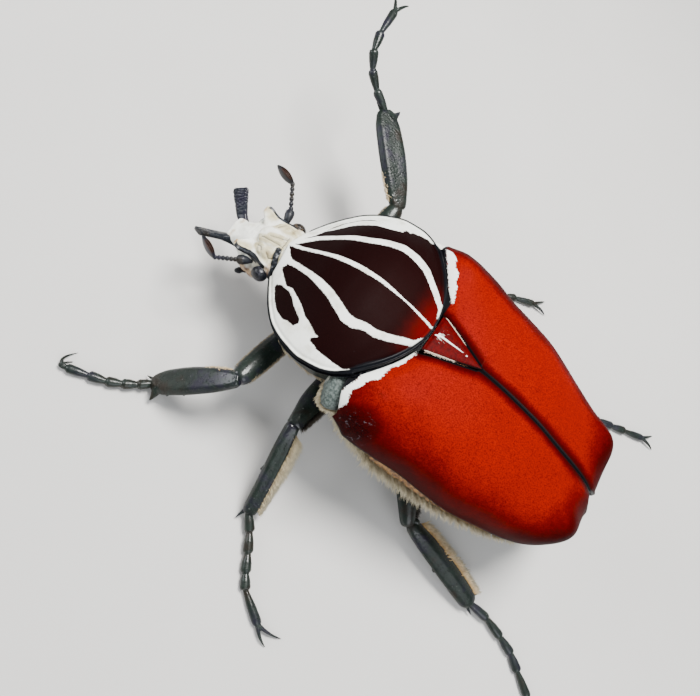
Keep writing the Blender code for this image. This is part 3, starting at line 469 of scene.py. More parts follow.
def new_mesh(name, points, groups, look):
    """Smooth mesh of points in the working frame and arrays of faces, all of one array alike."""
    data = bpy.data.meshes.new(name)
    data.vertices.add(len(points))
    data.vertices.foreach_set("co", to_metres(points).reshape(-1))
    sizes = np.concatenate([np.full(len(group), group.shape[1]) for group in groups])
    corners = np.concatenate([group.reshape(-1) for group in groups])
    data.loops.add(len(corners))
    data.loops.foreach_set("vertex_index", corners.astype(np.int32))
    data.polygons.add(len(sizes))
    data.polygons.foreach_set("loop_start", (np.cumsum(sizes) - sizes).astype(np.int32))
    data.update(calc_edges=True)
    data.validate()
    data.materials.append(LOOKS[look])
    data.shade_smooth()
    made = bpy.data.objects.new(name, data)
    bpy.context.scene.collection.objects.link(made)
    return made


def new_sheet(name, points, rows, columns, look):
    """Open sheet over a grid of points, its faces upward."""
    made = new_mesh(name, points, [grid_quads(rows, columns)], look)
    if normals_of(made)[:, 2].mean() < 0:
        made.data.flip_normals()
    return made


def new_skin(name, parts, look):
    """Skin of one or more closed parts, its faces outward."""
    points, groups, base = [], [], 0
    for part_points, part_groups in parts:
        points.append(part_points)
        groups += [group + base for group in part_groups]
        base += len(part_points)
    made = new_mesh(name, np.concatenate(points), groups, look)
    mesh = bmesh.new()
    mesh.from_mesh(made.data)
    bmesh.ops.recalc_face_normals(mesh, faces=mesh.faces)
    mesh.to_mesh(made.data)
    mesh.free()
    return made


def read_vectors(made, kind):
    found = np.empty(len(made.data.vertices) * 3)
    made.data.vertices.foreach_get(kind, found)
    return found.reshape(-1, 3)


def normals_of(made):
    return read_vectors(made, "normal")


def points_of(made):
    """Points of a mesh in the working frame."""
    return read_vectors(made, "co") / MM - SHIFT


def set_points(made, points):
    made.data.vertices.foreach_set("co", to_metres(points).reshape(-1))
    made.data.update()


def lift(made, heights, points=None):
    """Moves a mesh's points, or new places given for them, along its normals."""
    points = points_of(made) if points is None else points
    set_points(made, points + normals_of(made) * heights[:, None])


def add_attributes(made, **attributes):
    for name, values in attributes.items():
        layer = made.data.attributes.new(name, "FLOAT", "POINT")
        layer.data.foreach_set("value", np.asarray(values, np.float32))


def apply_modifiers(made):
    graph = bpy.context.evaluated_depsgraph_get()
    data = bpy.data.meshes.new_from_object(made.evaluated_get(graph))
    made.modifiers.clear()
    old, made.data = made.data, data
    bpy.data.meshes.remove(old)
    data.shade_smooth()


def thicken(made, thickness):
    shell = made.modifiers.new("Shell", "SOLIDIFY")
    shell.thickness = thickness * MM
    shell.offset = -1
    shell.use_quality_normals = True
    apply_modifiers(made)


def remesh(made, voxel, rounds):
    """One closed skin over overlapping parts, with the steps between them smoothed."""
    skin = made.modifiers.new("Skin", "REMESH")
    skin.mode = "VOXEL"
    skin.voxel_size = voxel * MM
    soften = made.modifiers.new("Soften", "SMOOTH")
    soften.factor = 0.5
    soften.iterations = rounds
    apply_modifiers(made)


def stand_for(made, slot, *nodes):
    """Fixes a finished piece to the body, in place of the nodes that it replaces."""
    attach(made, "root")
    if nodes:
        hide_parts(*nodes)
    return made


def clouds(points, scale, seed=0.0):
    """Smooth noise from -1 to 1 at each point."""
    shift = Vector((seed, seed * 1.7, -seed))
    return np.array([noise.noise(Vector(point) * scale + shift) for point in points])


def cell_distances(points, size, seed=0.0):
    """Distances of each point to the two nearest cell centres, as shares of a cell's size."""
    shift = Vector((seed, seed, seed))
    return np.array([noise.voronoi(Vector(point) / size + shift)[0][:2] for point in points])


def segment_distance(points, path, widths=None):
    """Distance of each point to a path, less the path's own half width there."""
    path = np.asarray(path, float)
    widths = np.zeros(len(path)) if widths is None else widths
    best = np.full(len(points), 1e9)
    for a, b, wa, wb in zip(path, path[1:], widths, widths[1:]):
        along = b - a
        t = np.clip((points - a) @ along / max(along @ along, 1e-9), 0, 1)
        gap = np.linalg.norm(points - a - t[:, None] * along, axis=1) - (wa + (wb - wa) * t)
        best = np.minimum(best, gap)
    return best


def inside(flat, polygon):
    """Whether each flat point lies in a polygon."""
    x, y = flat[:, 0], flat[:, 1]
    found = np.zeros(len(flat), bool)
    for (xa, ya), (xb, yb) in zip(polygon, polygon[1:] + polygon[:1]):
        crosses = (ya > y) != (yb > y)
        with np.errstate(divide="ignore", invalid="ignore"):
            at = (xb - xa) * (y - ya) / (yb - ya) + xa
        found ^= crosses & (x < at)
    return found


# Materials

class Signal:
    """What a shader node gives out. Sums and products add the nodes that work them out."""

    def __init__(self, look, socket):
        self.look = look
        self.socket = socket

    def __add__(self, other):
        return self.look.maths("ADD", self, other)

    def __sub__(self, other):
        return self.look.maths("SUBTRACT", self, other)

    def __mul__(self, other):
        return self.look.maths("MULTIPLY", self, other)

    def step(self, low, high):
        """Smooth rise from 0 at low to 1 at high."""
        return self.look.add("MapRange", {"Value": self, "From Min": low, "From Max": high},
                             interpolation_type="SMOOTHSTEP")

    def edge(self, softness=0.06):
        return self.step(-softness, softness)

    def ragged(self, reach, scale, fine=0):
        """A distance in mm made uneven by noise, so that the edge drawn from it is jagged."""
        made = self + self.look.grain(scale, 4.0, 0.7) * (2 * reach) - reach
        return made + self.look.cells(scale * 3) * (2 * fine) - fine if fine else made

    def mix(self, first, second):
        """Colour that goes from the first to the second as the signal goes from 0 to 1."""
        made = self.look.tree.nodes.new("ShaderNodeMix")
        made.data_type = "RGBA"
        for name, value in (("Factor", self), ("A", first), ("B", second)):
            socket = next(s for s in made.inputs if s.name == name and s.enabled)
            if isinstance(value, Signal):
                self.look.tree.links.new(value.socket, socket)
            else:
                socket.default_value = (*value, 1)
        return Signal(self.look, next(s for s in made.outputs if s.enabled))


class Look:
    """Material with a Principled shader, the given sockets set on it."""

    def __init__(self, name, **sockets):
        self.material = bpy.data.materials.new(name)
        self.material.use_nodes = True
        self.tree = self.material.node_tree
        self.shader = self.tree.nodes["Principled BSDF"]
        for key, value in sockets.items():
            self.shader.inputs[key.replace("_", " ")].default_value = value

    def __getitem__(self, name):
        """Signal of the mesh's attribute with that name."""
        return self.add("Attribute", output="Fac", attribute_name=name)

    def add(self, kind, inputs=(), output=0, **settings):
        made = self.tree.nodes.new("ShaderNode" + kind)
        for key, value in settings.items():
            setattr(made, key, value)
        for name, value in dict(inputs).items():
            if isinstance(value, Signal):
                self.tree.links.new(value.socket, made.inputs[name])
            else:
                made.inputs[name].default_value = value
        return Signal(self, made.outputs[output])

    def maths(self, operation, *values):
        return self.add("Math", dict(enumerate(values)), operation=operation)

    def grain(self, scale, detail=3.0, roughness=0.55, stretch=None):
        """Noise from 0 to 1 whose features are about 1 / scale metres across."""
        where = self.add("TexCoord", output="Object")
        if stretch:
            where = self.add("Mapping", {"Vector": where, "Scale": stretch})
        inputs = {"Vector": where, "Scale": scale, "Detail": detail, "Roughness": roughness}
        return self.add("TexNoise", inputs, "Fac")

    def cells(self, scale, randomness=1.0):
        """Distance to the nearest of many scattered centres."""
        where = self.add("TexCoord", output="Object")
        return self.add("TexVoronoi", {"Vector": where, "Scale": scale, "Randomness": randomness}, "Distance")

    def finish(self, colour, roughness, height=None, depth=0.05, strength=0.8, coat=None):
        """Links the shader to its signals, the height as relief this many millimetres deep."""
        links = {"Base Color": colour, "Roughness": roughness, "Coat Weight": coat}
        if height:
            inputs = {"Height": height, "Distance": depth * MM, "Strength": strength}
            links["Normal"] = self.add("Bump", inputs)
        for name, signal in links.items():
            if signal:
                self.tree.links.new(signal.socket, self.shader.inputs[name])
        return self.material


# Colours of the shell, its bloom and its wear, some also used for painted shade
WHITE = (0.84, 0.855, 0.80)
WHITE_SHADE = (0.62, 0.61, 0.53)
WHITE_PORE = (0.4, 0.39, 0.34)
MAROON_BLACK = (0.0050, 0.0012, 0.0012)
MAROON = (0.0078, 0.0010, 0.0009)
MAROON_FLECK = (0.02, 0.003, 0.003)
GLOW_RED = (0.088, 0.0009, 0.0005)
DUST = (0.2, 0.17, 0.16)
RIM_BLACK = (0.003, 0.0035, 0.005)
ELYTRA_REDS = ((0.0075, 0.0008, 0.0011), (0.030, 0.0007, 0.0009), (0.092, 0.0006, 0.0003),
               (0.225, 0.0030, 0.0002))
ELYTRA_FLECK = (0.050, 0.0005, 0.0003)
SUTURE_BLACK = (0.003, 0.003, 0.004)
SCRATCH_GREY = (0.25, 0.25, 0.29)
SCUTELLUM_REDS = ((0.078, 0.0007, 0.0009), (0.042, 0.0005, 0.0009))
SCUTELLUM_BLACK = (0.004, 0.002, 0.002)
DOWN = (0.52, 0.38, 0.30)
PIT_BLACK = (0.002, 0.002, 0.002)
FLECK_GREY = (0.20, 0.21, 0.20)
CLUB_BROWN = (0.030, 0.011, 0.006)
RUST_TANS = ((0.38, 0.19, 0.055), (0.11, 0.05, 0.022))
HEAD_WHITES = ((0.86, 0.865, 0.80), (0.68, 0.665, 0.57))
# The head's cream, then a darker cream for painted shade
HEAD_CREAMS_AND_SHADES = ((0.52, 0.465, 0.30), (0.27, 0.22, 0.12))
HEAD_TANS = ((0.38, 0.23, 0.10), (0.13, 0.055, 0.022))
HEAD_PORE = (0.32, 0.29, 0.23)
HEAD_SLATES = ((0.004, 0.005, 0.007), (0.03, 0.035, 0.045))
CRACK_BROWN = (0.09, 0.08, 0.065)
PLATE_SLATES = ((0.030, 0.042, 0.038), (0.115, 0.14, 0.13))
FLOOR_GREYS = ((0.56, 0.55, 0.53), (0.61, 0.60, 0.58))


def tinted(colour, factor):
    return tuple(part * factor for part in colour)


def pronotum_look():
    look = Look("pronotum_velvet", Specular_IOR_Level=0.02, Coat_Roughness=0.28)
    white = look["white"].ragged(0.15, 2100, 0.1).edge()
    rim = look["rim"].ragged(0.05, 1500).step(0.62, 0.42)
    dark = look["warm"].step(0.0, 1.0).mix(MAROON_BLACK, MAROON)
    dark = look["glow"].ragged(0.12, 900).step(0.05, 1.0).mix(dark, GLOW_RED)
    dark = (look.grain(9000, 2.0, 0.6).step(0.5, 0.75) * 0.3).mix(dark, MAROON_FLECK)
    dark = (look.cells(1300).step(0.07, 0.02) * look.grain(330).step(0.56, 0.72)).mix(dark, DUST)
    pale = look.grain(420, 5.0).step(0.45, 0.75).mix(WHITE, WHITE_SHADE)
    pale = (look.cells(2600).step(0.14, 0.02) * 0.2).mix(pale, WHITE_PORE)
    colour = rim.mix(white.mix(dark, pale), RIM_BLACK)
    rough = white * 0.2 + look.grain(3000) * 0.12 + 0.45
    height = white * 0.6 + look.grain(5200) * 0.5 - look.cells(2400).step(0.2, 0.05) * 0.3
    return look.finish(colour, rough, height, 0.06, coat=rim * 0.1)


def elytra_look():
    look = Look("elytra_velvet", Specular_IOR_Level=0.015, Coat_Roughness=0.28)
    fine = look.grain(5000, 3.0, 0.7)
    # The shade level darkens the edges, partly as painted shade; noise breaks it up
    level = look["shade"] + look.grain(240, 4.0) * 0.62 + look.grain(1900, 3.0, 0.7) * 0.62 - 0.62
    colour = level.step(-0.18, 0.10).mix(*ELYTRA_REDS[:2])
    colour = level.step(0.16, 0.62).mix(colour, ELYTRA_REDS[2])
    colour = level.step(0.52, 1.1).mix(colour, ELYTRA_REDS[3])
    colour = (fine.step(0.42, 0.62) * 0.7).mix(colour, ELYTRA_FLECK)
    black = look.maths("MAXIMUM", look["suture"].step(0.44, 0.26), look["margin"].step(0.7, 0.45))
    # Black ahead of the white patch: the elytron's black base and a painted shadow under the pronotum
    black = look.maths("MAXIMUM", black, look["gap"].ragged(0.12, 1500).step(-0.15, 0.1))
    colour = black.mix(colour, SUTURE_BLACK)
    scratches = look.grain(700, 6.0, 0.8, (1.0, 3.0, 1.0)).step(0.58, 0.66)
    colour = (look["shoulder"].step(0.45, 0.9) * scratches * 0.6).mix(colour, SCRATCH_GREY)
    patch = look["patch"].ragged(0.3, 1300, 0.2).edge(0.05)
    height = fine * 0.4 + patch * 0.5 - look.cells(3400).step(0.2, 0.05) * 0.35
    return look.finish(patch.mix(colour, WHITE), fine * 0.14 + patch * 0.2 + 0.42, height, 0.045,
                       coat=black * 0.2)


def scutellum_look():
    look = Look("scutellum_velvet", Specular_IOR_Level=0.02)
    colour = look.grain(1500).step(0.35, 0.7).mix(*SCUTELLUM_REDS)
    colour = look["side"].ragged(0.12, 1500).step(0.12, 0.5).mix(SCUTELLUM_BLACK, colour)
    colour = look["downy"].ragged(0.3, 2200).step(0.35, 0.7).mix(colour, DOWN)
    white = look["white"].ragged(0.06, 3800, 0.04).edge(0.05)
    height = white * 0.5 + look.grain(4000)
    return look.finish(white.mix(colour, WHITE), white * 0.2 + 0.42, height, 0.06, 0.7)


def black_shell(name, tint, rough, pits, pit_depth, pit_scale=2300, gloss=0.5, coat=0.2, brown=False):
    """Black shell with punctures, duller in patches, green-black with violet and brown patches by place, a
    painted sheen.
    """
    look = Look(name, Specular_IOR_Level=gloss, Coat_Roughness=0.14)
    spots = look.cells(pit_scale).step(0.30, 0.06)
    cloud, wide = look.grain(700, 4.0), look.grain(190, 2.0)
    # Painted sheen: violet and brown patches by broad noise
    base = wide.step(0.5, 0.62).mix(tint, tinted((0.9, 0.8, 1.7), 1.5 * tint[2]))
    base = wide.step(0.45, 0.36).mix(base, tinted((1.3, 0.9, 0.45), 1.6 * tint[0]))
    colour = cloud.step(0.35, 0.75).mix(base, tuple(1.7 * part + 0.002 for part in tint))
    colour = (spots * 0.75).mix(colour, PIT_BLACK)
    flecks = look.cells(0.62 * pit_scale).step(0.16, 0.05) * look.grain(420).step(0.44, 0.62)
    colour = (flecks * 0.5).mix(colour, FLECK_GREY)
    if brown:
        colour = look["brown"].mix(colour, CLUB_BROWN)
    rust = look["rust"]
    tan = look.grain(1500, 4.0).step(0.36, 0.66).mix(*RUST_TANS)
    colour = rust.ragged(0.3, 1100).step(0.3, 0.7).mix(colour, tan)
    roughness = cloud * 0.18 + spots * 0.2 + rust * 0.3 + rough
    height = look.grain(2600, 4.0) * 0.45 - spots * pits
    return look.finish(colour, roughness, height, pit_depth, 0.9, look["knee"] * 0.6 + coat)


def head_look():
    look = Look("head_chalk", Specular_IOR_Level=0.3)
    # Cream tone with painted shade: the stronger it is, the darker the cream
    cream = look["cream"] * (look.grain(620, 4.0).step(0.3, 0.6) * 0.55 + 0.45)
    colour = look.grain(380, 5.0).step(0.42, 0.75).mix(*HEAD_WHITES)
    colour = cream.step(0.0, 0.6).mix(colour, HEAD_CREAMS_AND_SHADES[0])
    colour = cream.step(0.55, 1.0).mix(colour, HEAD_CREAMS_AND_SHADES[1])
    tan = look.grain(900).step(0.4, 0.62).mix(*HEAD_TANS)
    colour = look["warm"].ragged(0.35, 1300).step(0.15, 1.0).mix(colour, tan)
    pores = look.cells(2500).step(0.16, 0.03)
    colour = (pores * 0.35).mix(colour, HEAD_PORE)
    black = look["black"].ragged(0.1, 1800, 0.06).edge(0.07)
    colour = black.mix(colour, look.grain(1600, 4.0).step(0.45, 0.7).mix(*HEAD_SLATES))
    crack = look["crack"].ragged(0.07, 2500).step(0.11, 0.02)
    colour = (crack * 0.75).mix(colour, CRACK_BROWN)
    height = look.grain(1500, 5.0) * 0.8 - (pores * 0.3 + crack)
    return look.finish(colour, black * -0.28 + 0.62, height, 0.09, 0.9)


def chalk_look(name, dark_attribute=False):
    look = Look(name, Specular_IOR_Level=0.3)
    colour = look.grain(500, 5.0).step(0.4, 0.7).mix(WHITE, WHITE_SHADE)
    if dark_attribute:
        dark = look["dark"].ragged(0.25, 1500, 0.08).edge(0.12)
        colour = dark.mix(colour, look.grain(2600, 5.0).step(0.35, 0.72).mix(*PLATE_SLATES))
    return look.finish(colour, look.grain(2000) * 0.15 + 0.5, look.grain(3000, 4.0))


def eye_look(name, tint, mottle_tint):
    look = Look(name, Specular_IOR_Level=0.25, Coat_Weight=0.16, Coat_Roughness=0.04)
    colour = look.grain(1300).step(0.48, 0.62).mix(tint, mottle_tint)
    facet = look.cells(9500, 0.15)
    return look.finish(colour, facet * 0.15 + 0.18, look.maths("SUBTRACT", 1.0, facet), 0.03)


def hair_look(name, root_tint, tip_tint):
    look = Look(name, Specular_IOR_Level=0.35)
    along = look["along"]
    shade = look.grain(1500, 2.0).step(0.3, 0.7) * 0.35
    return look.finish(shade.mix(along.mix(root_tint, tip_tint), tinted(root_tint, 0.45)), along * 0.1 + 0.48)


def floor_look():
    look = Look("floor_pale", Specular_IOR_Level=0.2)
    return look.finish(look.grain(25).mix(*FLOOR_GREYS), look.grain(60) * 0.1 + 0.8)


LOOKS = {
    "pronotum": pronotum_look(),
    "elytra": elytra_look(),
    "scutellum": scutellum_look(),
    "leg": black_shell("leg_shell", (0.0045, 0.0084, 0.0062), 0.32, 0.9, 0.12, 2000, 0.2, 0.05),
    "horn": black_shell("horn_shell", (0.003, 0.0045, 0.008), 0.22, 0.6, 0.06, 2700, 0.22, 0.12),
    "antenna": black_shell("antenna_shell", (0.006, 0.007, 0.010), 0.3, 0.5, 0.03, 4500, 0.3, 0.08, True),
    "belly": black_shell("belly_shell", (0.010, 0.015, 0.011), 0.28, 0.8, 0.06, 1800),
    "head": head_look(),
    "plate": chalk_look("plate_chalk", True),
    "pygidium": chalk_look("pygidium_chalk"),
    "eye_left": eye_look("eye_grey", (0.003, 0.0035, 0.006), (0.030, 0.030, 0.038)),
    "eye_right": eye_look("eye_mottled", (0.008, 0.007, 0.006), (0.07, 0.045, 0.025)),
    "hair": hair_look("hair_cream", (0.40, 0.31, 0.175), (0.76, 0.69, 0.50)),
    "hair_gold": hair_look("hair_gold", (0.62, 0.38, 0.13), (0.88, 0.82, 0.64)),
    "hair_white": hair_look("hair_white", (0.50, 0.44, 0.34), (0.74, 0.70, 0.60)),
    "hair_brown": hair_look("hair_brown", (0.010, 0.007, 0.005), (0.06, 0.042, 0.026)),
    "hair_sand": hair_look("hair_sand", (0.12, 0.09, 0.05), (0.42, 0.35, 0.24)),
    "floor": floor_look(),
}


# Pronotum

def pronotum_point(run, across):
    """Points of the pronotum's top, by run from hind to front edge and share of the half width."""
    run, across = np.asarray(run, float), np.asarray(across, float)
    half_width, rim, middle = smooth(PRONOTUM_ROWS, run)
    hind = PRONOTUM_HIND_CORNER_X * across**2
    front = PRONOTUM_FRONT_X + (PRONOTUM_FRONT_CORNER_X - PRONOTUM_FRONT_X) * np.abs(across)
    height = rim + (middle - rim) * (1 - np.minimum(np.abs(across), 1) ** PRONOTUM_CROWN_POWER)
    return np.stack([hind + (front - hind) * run, half_width * across, height], -1)


def region_depth(points, flat, polygon):
    """Distance in from the edge of a region drawn in run and across, less than 0 outside it."""
    closed = dense(list(polygon) + [polygon[0]])
    reach = segment_distance(points, pronotum_point(closed[:, 0], closed[:, 1]))
    return np.where(inside(flat, list(polygon)), reach, -reach)


def pronotum_marks(points, flat):
    """Depth into the white markings, in mm."""
    white = np.full(len(points), -9.0)
    for stripe in (MEDIAN_STRIPE, *DISCAL_STRIPES.values()):
        line = dense(stripe)
        reach = segment_distance(points, pronotum_point(line[:, 0], line[:, 1]), line[:, 2])
        white = np.maximum(white, -reach)
    regions = [list(FIELD_LIMITS[name]) + [(0.02, 1.3 * side), (1.3, 1.3 * side), (1.3, 0.25 * side)]
               for name, side in SIDES.items()]
    regions.append([(run, across) for across, run in FRONT_MARGIN] + [(1.3, 1.0), (1.3, -1.0)])
    for region in regions:
        white = np.maximum(white, region_depth(points, flat, region))
    for spot in SPOTS.values():
        white = np.minimum(white, -region_depth(points, flat, spot))
    return white


def make_pronotum():
    rows, columns = PRONOTUM_GRID
    swing = np.pi / 2 * 0.86
    run, across = grid(np.linspace(0, 1, rows) ** 0.97,
                       np.sin(np.linspace(-1, 1, columns) * swing) / math.sin(swing))
    points = pronotum_point(run, across)
    line, ones = np.linspace(0, 1, 60), np.ones(60)
    hind, front = [segment_distance(points, pronotum_point(ones * end, line * 2 - 1)) for end in (0, 1)]
    sides = [segment_distance(points, pronotum_point(line, ones * side)) for side in (1, -1)]
    rim = np.minimum.reduce([*sides, hind])
    white = pronotum_marks(points, np.stack([run, across], -1))
    made = new_sheet("pronotum_skin", points, rows, columns, "pronotum")
    lift(made, 0.26 * bell(rim - 0.25, 0.26) - 0.16 * bell(rim - 0.85, 0.3)
         + 0.07 * np.clip(white / 0.15 + 0.5, 0, 1) + 0.05 * clouds(points, 0.28)
         - 0.3 * bell(rim, 0.12) - 0.12 * bell(front, 0.2))
    add_attributes(made, white=white, rim=np.minimum(rim, hind / np.interp(across, *RIM_BREADTHS)),
                   glow=bell(run, 0.15) * np.clip(1.3 - np.abs(across) / 0.46, 0, 1),
                   warm=bell(run - 0.2, 0.38) * bell(across, 0.75))
    thicken(made, PRONOTUM_THICKNESS)
    stand_for(made, "pronotum_striped", "pronotum")


# Elytra and scutellum

def scutellum_width(share):
    return SCUTELLUM_BASE[1] + (SCUTELLUM_TIP[1] - SCUTELLUM_BASE[1]) * share**SCUTELLUM_SPREAD


def scutellum_half(x):
    """Half width of the scutellum at x, zero behind its tip."""
    half = scutellum_width(ramp(np.asarray(x, float), SCUTELLUM_BASE[0], SCUTELLUM_TIP[0]))
    return np.where(x < SCUTELLUM_TIP[0], 0.0, half)


def elytron_base(y):
    """Where an elytron starts, tucked just under the pronotum's hind edge and rounded at the shoulder."""
    hind = PRONOTUM_HIND_CORNER_X * (np.minimum(y, 15.2) / PRONOTUM_ROWS[0][1]) ** 2 - ELYTRON_TUCK
    return hind - 3.4 * ramp(y, 15.6, 20.8) ** 2.2


def elytron_points(share, across, side):
    front_x, rear_x = ELYTRA_ROWS[0][0], ELYTRA_ROWS[-1][0]
    x = front_x + (rear_x - front_x) * share
    half_width, edge, top = smooth(ELYTRA_ROWS, x)
    sideways = np.cos(np.pi / 2 * (1 - across)) ** (2 / ELYTRON_POWER)
    for _ in range(6):
        inner = np.where(x > SCUTELLUM_TIP[0], scutellum_half(x) + 0.12, SUTURE_GAP)
        inner = np.minimum(inner + APEX_SPLIT * ramp(x, APEX_SPLIT_X, rear_x) ** 1.3, half_width * 0.9)
        y = inner + (half_width - inner) * sideways
        start = elytron_base(y)
        x = start + (rear_x - start) * share
    reach = np.clip(y / half_width, 0, 1)
    height = edge + (top - edge) * np.clip(1 - reach**ELYTRON_POWER, 0, 1) ** (1 / ELYTRON_POWER)
    for at_x, at_y, swell, spread in ELYTRON_BUMPS:
        height = height + swell * np.exp(-(((x - at_x) / spread) ** 2) - ((y - at_y) / spread) ** 2)
    return np.stack([x, y * side, height], -1)


def ahead_of(points, edge, side):
    """How far points lie ahead of an edge given as distances from the middle and x."""
    edge = np.array(edge)
    return (points[:, 0] - np.interp(points[:, 1] * side, edge[:, 0], edge[:, 1])) * 0.85


def make_elytron(name, side):
    rows, columns = ELYTRON_GRID
    share = np.linspace(0, 1, rows)
    share, across = grid(share - 0.06 * np.sin(2 * np.pi * share), np.linspace(0, 1, columns))
    points = elytron_points(share, across, side)
    line, ones = np.linspace(0, 1, 120), np.ones(120)
    suture, margin, rear = [segment_distance(points, elytron_points(*edge, side))
                            for edge in ((line, 0 * line), (line, ones), (ones, line))]
    made = new_sheet(f"elytron_skin_{name}", points, rows, columns, "elytra")
    # Dark gap ahead of the patch: black base and painted shadow under the pronotum
    gap = ahead_of(points, BASE_FRONTS[name], side)
    patch = np.minimum.reduce([ahead_of(points, BASE_PATCHES[name], side), -gap,
                               points[:, 1] * side - BASE_PATCHES[name][0][0],
                               BASE_PATCHES[name][-1][0] - points[:, 1] * side])
    # Dark toward margin, suture, tip and shoulder, with painted shade in the margin's fall-off; painted shade
    # only where the far elytron turns away at its front and where the surface faces backward
    front = ramp(points[:, 0], -40, 4)
    # Painted shade on the front of the far elytron, where it turns away from the light
    turned = (side < 0) * ramp(points[:, 0], -20, -6)
    back = ramp(points[:, 0], -31, -41)
    shoulder = np.hypot((points[:, 0] - 1.2) / 5.4, (points[:, 1] * side - 21.4) / 3.7)
    inward = (elytron_points(share, np.ones(len(points)), side)[:, 1] - points[:, 1]) * side
    shade = np.minimum.reduce([
        # Margin: the dark edge, partly painted shade, and more painted shade on the far elytron's front
        (margin - 0.6 - 3.6 * turned - 6.0 * back) / (9.6 + 2.4 * front - 6.0 * turned - 3.0 * back),
        (suture - 0.15) / 1.9, (rear - 0.3) / 8.5, (shoulder - 0.55) / 0.8,
        # Painted shade along the far elytron's outer edge
        np.where(side < 0, np.maximum((inward - 2.3) / 3.2, 0.42 - 0.42 * turned), 9.0),
        # Painted shade where the surface faces backward
        (1.02 + normals_of(made)[:, 0]) / 0.36,
    ])
    lift(made, 0.22 * bell(suture - 0.3, 0.26) + 0.2 * bell(margin - 0.35, 0.3)
         - 0.14 * bell(margin - 1.0, 0.35) - 0.3 * bell(np.minimum(suture, margin), 0.1)
         + 0.07 * clouds(points, 0.16, 3.0) + 0.05 * np.clip(patch / 0.2 + 0.5, 0, 1))
    add_attributes(made, suture=suture, margin=margin, patch=np.clip(patch, -9, 9), gap=np.clip(gap, -9, 9),
                   shade=np.clip(shade, -0.2, 1.1), shoulder=np.clip(1.3 - shoulder, 0, 1))
    thicken(made, ELYTRON_THICKNESS)
    stand_for(made, "elytra_red", f"elytron_{name}")


def make_scutellum():
    rows, columns = SCUTELLUM_GRID
    share, across = grid(np.linspace(0, 1, rows), np.linspace(-1, 1, columns))
    x, _, z = [base + (tip - base) * share for base, tip in zip(SCUTELLUM_BASE, SCUTELLUM_TIP)]
    half = scutellum_width(share)
    z = z - 0.28 * np.abs(across) ** 3 - 0.25 * bell(share, 0.05)
    points = np.stack([x, half * across, z], -1)
    side = half * (1 - np.abs(across))
    white = np.full(len(points), -9.0)
    for line in SCUTELLUM_WHITE:
        line = dense(line, 4)
        white = np.maximum(white, -segment_distance(points[:, :2], line[:, :2], line[:, 2]))
    taper = ramp(x, -6.6, -3.4) * ramp(x, -0.5, -1.0)
    made = new_sheet("scutellum_skin", points, rows, columns, "scutellum")
    add_attributes(made, side=side, white=white,
                   downy=bell(side - 0.1, 0.05 + 0.09 * taper) * np.clip(taper * 3, 0, 1))
    thicken(made, SCUTELLUM_DEPTH)
    return stand_for(made, "scutellum_red", "scutellum")


# Trunk, pygidium and side plates

def trunk_rings(rows, count, sides, powers, seams=()):
    """Rings of a trunk part whose upper and lower halves are parts of two superellipses."""
    places = np.linspace(rows[0][0], rows[-1][0], count)[:, None]
    half_width, side, top, bottom = smooth(rows, places)
    turn = around(sides)
    power = np.where(np.sin(turn) > 0, *powers)
    across, height = rounded(np.cos(turn), power), rounded(np.sin(turn), power)
    below = np.maximum(-np.sin(turn), 0) ** 0.5
    groove = sum(depth * bell(places - at, 0.45) * below for at, depth in seams)
    z = side + np.where(height > 0, (top - side) * height, (side - bottom - groove) * height)
    return np.stack([places + 0 * turn, (half_width - groove * 0.6) * across, z], -1)


def make_trunk():
    rings = trunk_rings(TRUNK_ROWS, 240, 132, (3.0, 2.4), TRUNK_SEAMS)
    made = new_skin("trunk_skin", [tube_mesh(rings)], "belly")
    points = points_of(made)
    x, y, z = points.T
    shelf = np.interp(x, *ELYTRA_SHELF)
    along = ramp(x, -44, -39) * ramp(x, -1.5, -6.5)
    # The roll of the flanks under the elytra, then the keel between the legs
    y += np.sign(y) * along * 1.25 * bell(z - shelf + 2.9, 1.5) * np.clip(np.abs(y) / 6, 0, 1)
    keel = 0.35 * bell(y, 1.1) * (x > -12.4) * (x < 6.5)
    lift(made, ramp(z, 14, 10) * keel + 0.08 * clouds(points, 0.35) + 0.03 * clouds(points, 1.6), points)
    add_attributes(made, rust=ramp(z - shelf, -4.4, -3.2) * along)
    return stand_for(made, "underside_black", "prosternum", "metathorax", "abdomen")


def make_pygidium():
    made = new_skin("pygidium_skin", [tube_mesh(trunk_rings(PYGIDIUM_ROWS, 40, 72, (2.2, 2.2)))], "pygidium")
    lift(made, 0.06 * clouds(points_of(made), 0.8))
    stand_for(made, "chalk_white", "pygidium")


def make_side_plate(name, side):
    """Plate that fills the corner between pronotum, shoulder and flank."""
    path = dense(mirrored(SIDE_PLATE_PATH, side))
    sizes = profiled(SIDE_PLATE_PROFILE, np.linspace(0, 1, len(path)))
    made = new_skin(f"side_plate_skin_{name}", [tube(path, *sizes, 40, power=3.2)], "plate")
    points = points_of(made)
    lift(made, 0.07 * clouds(points, 0.9, side))
    dark = np.minimum(points[:, 0] - 5.0 + 0.3 * (points[:, 1] * side - 17), 8.6 - points[:, 0])
    add_attributes(made, dark=dark if side > 0 else np.full(len(points), -3.0))
    return stand_for(made, "chalk_white", f"side_plate_{name}")


# Head

def lobe_rings(side):
    """Rings of the flat lobe that stands out over an antenna's root."""
    places = np.linspace(LOBE_ROWS[0][0], LOBE_ROWS[-1][0], 70)[:, None]
    inner, outer, height, thick = smooth(LOBE_ROWS, places)
    turn = around(64)
    across = rounded(np.cos(turn), 3.0)
    y = (inner + outer) / 2 + (outer - inner) / 2 * across
    z = (height + thick * rounded(np.sin(turn), 2.6) * (1 + 0.35 * np.clip(across, 0, 1))
         + LOBE_RAISE * np.clip(across, -0.4, 1) ** 3)
    return np.stack([places + 0 * y, y * side, z], -1)


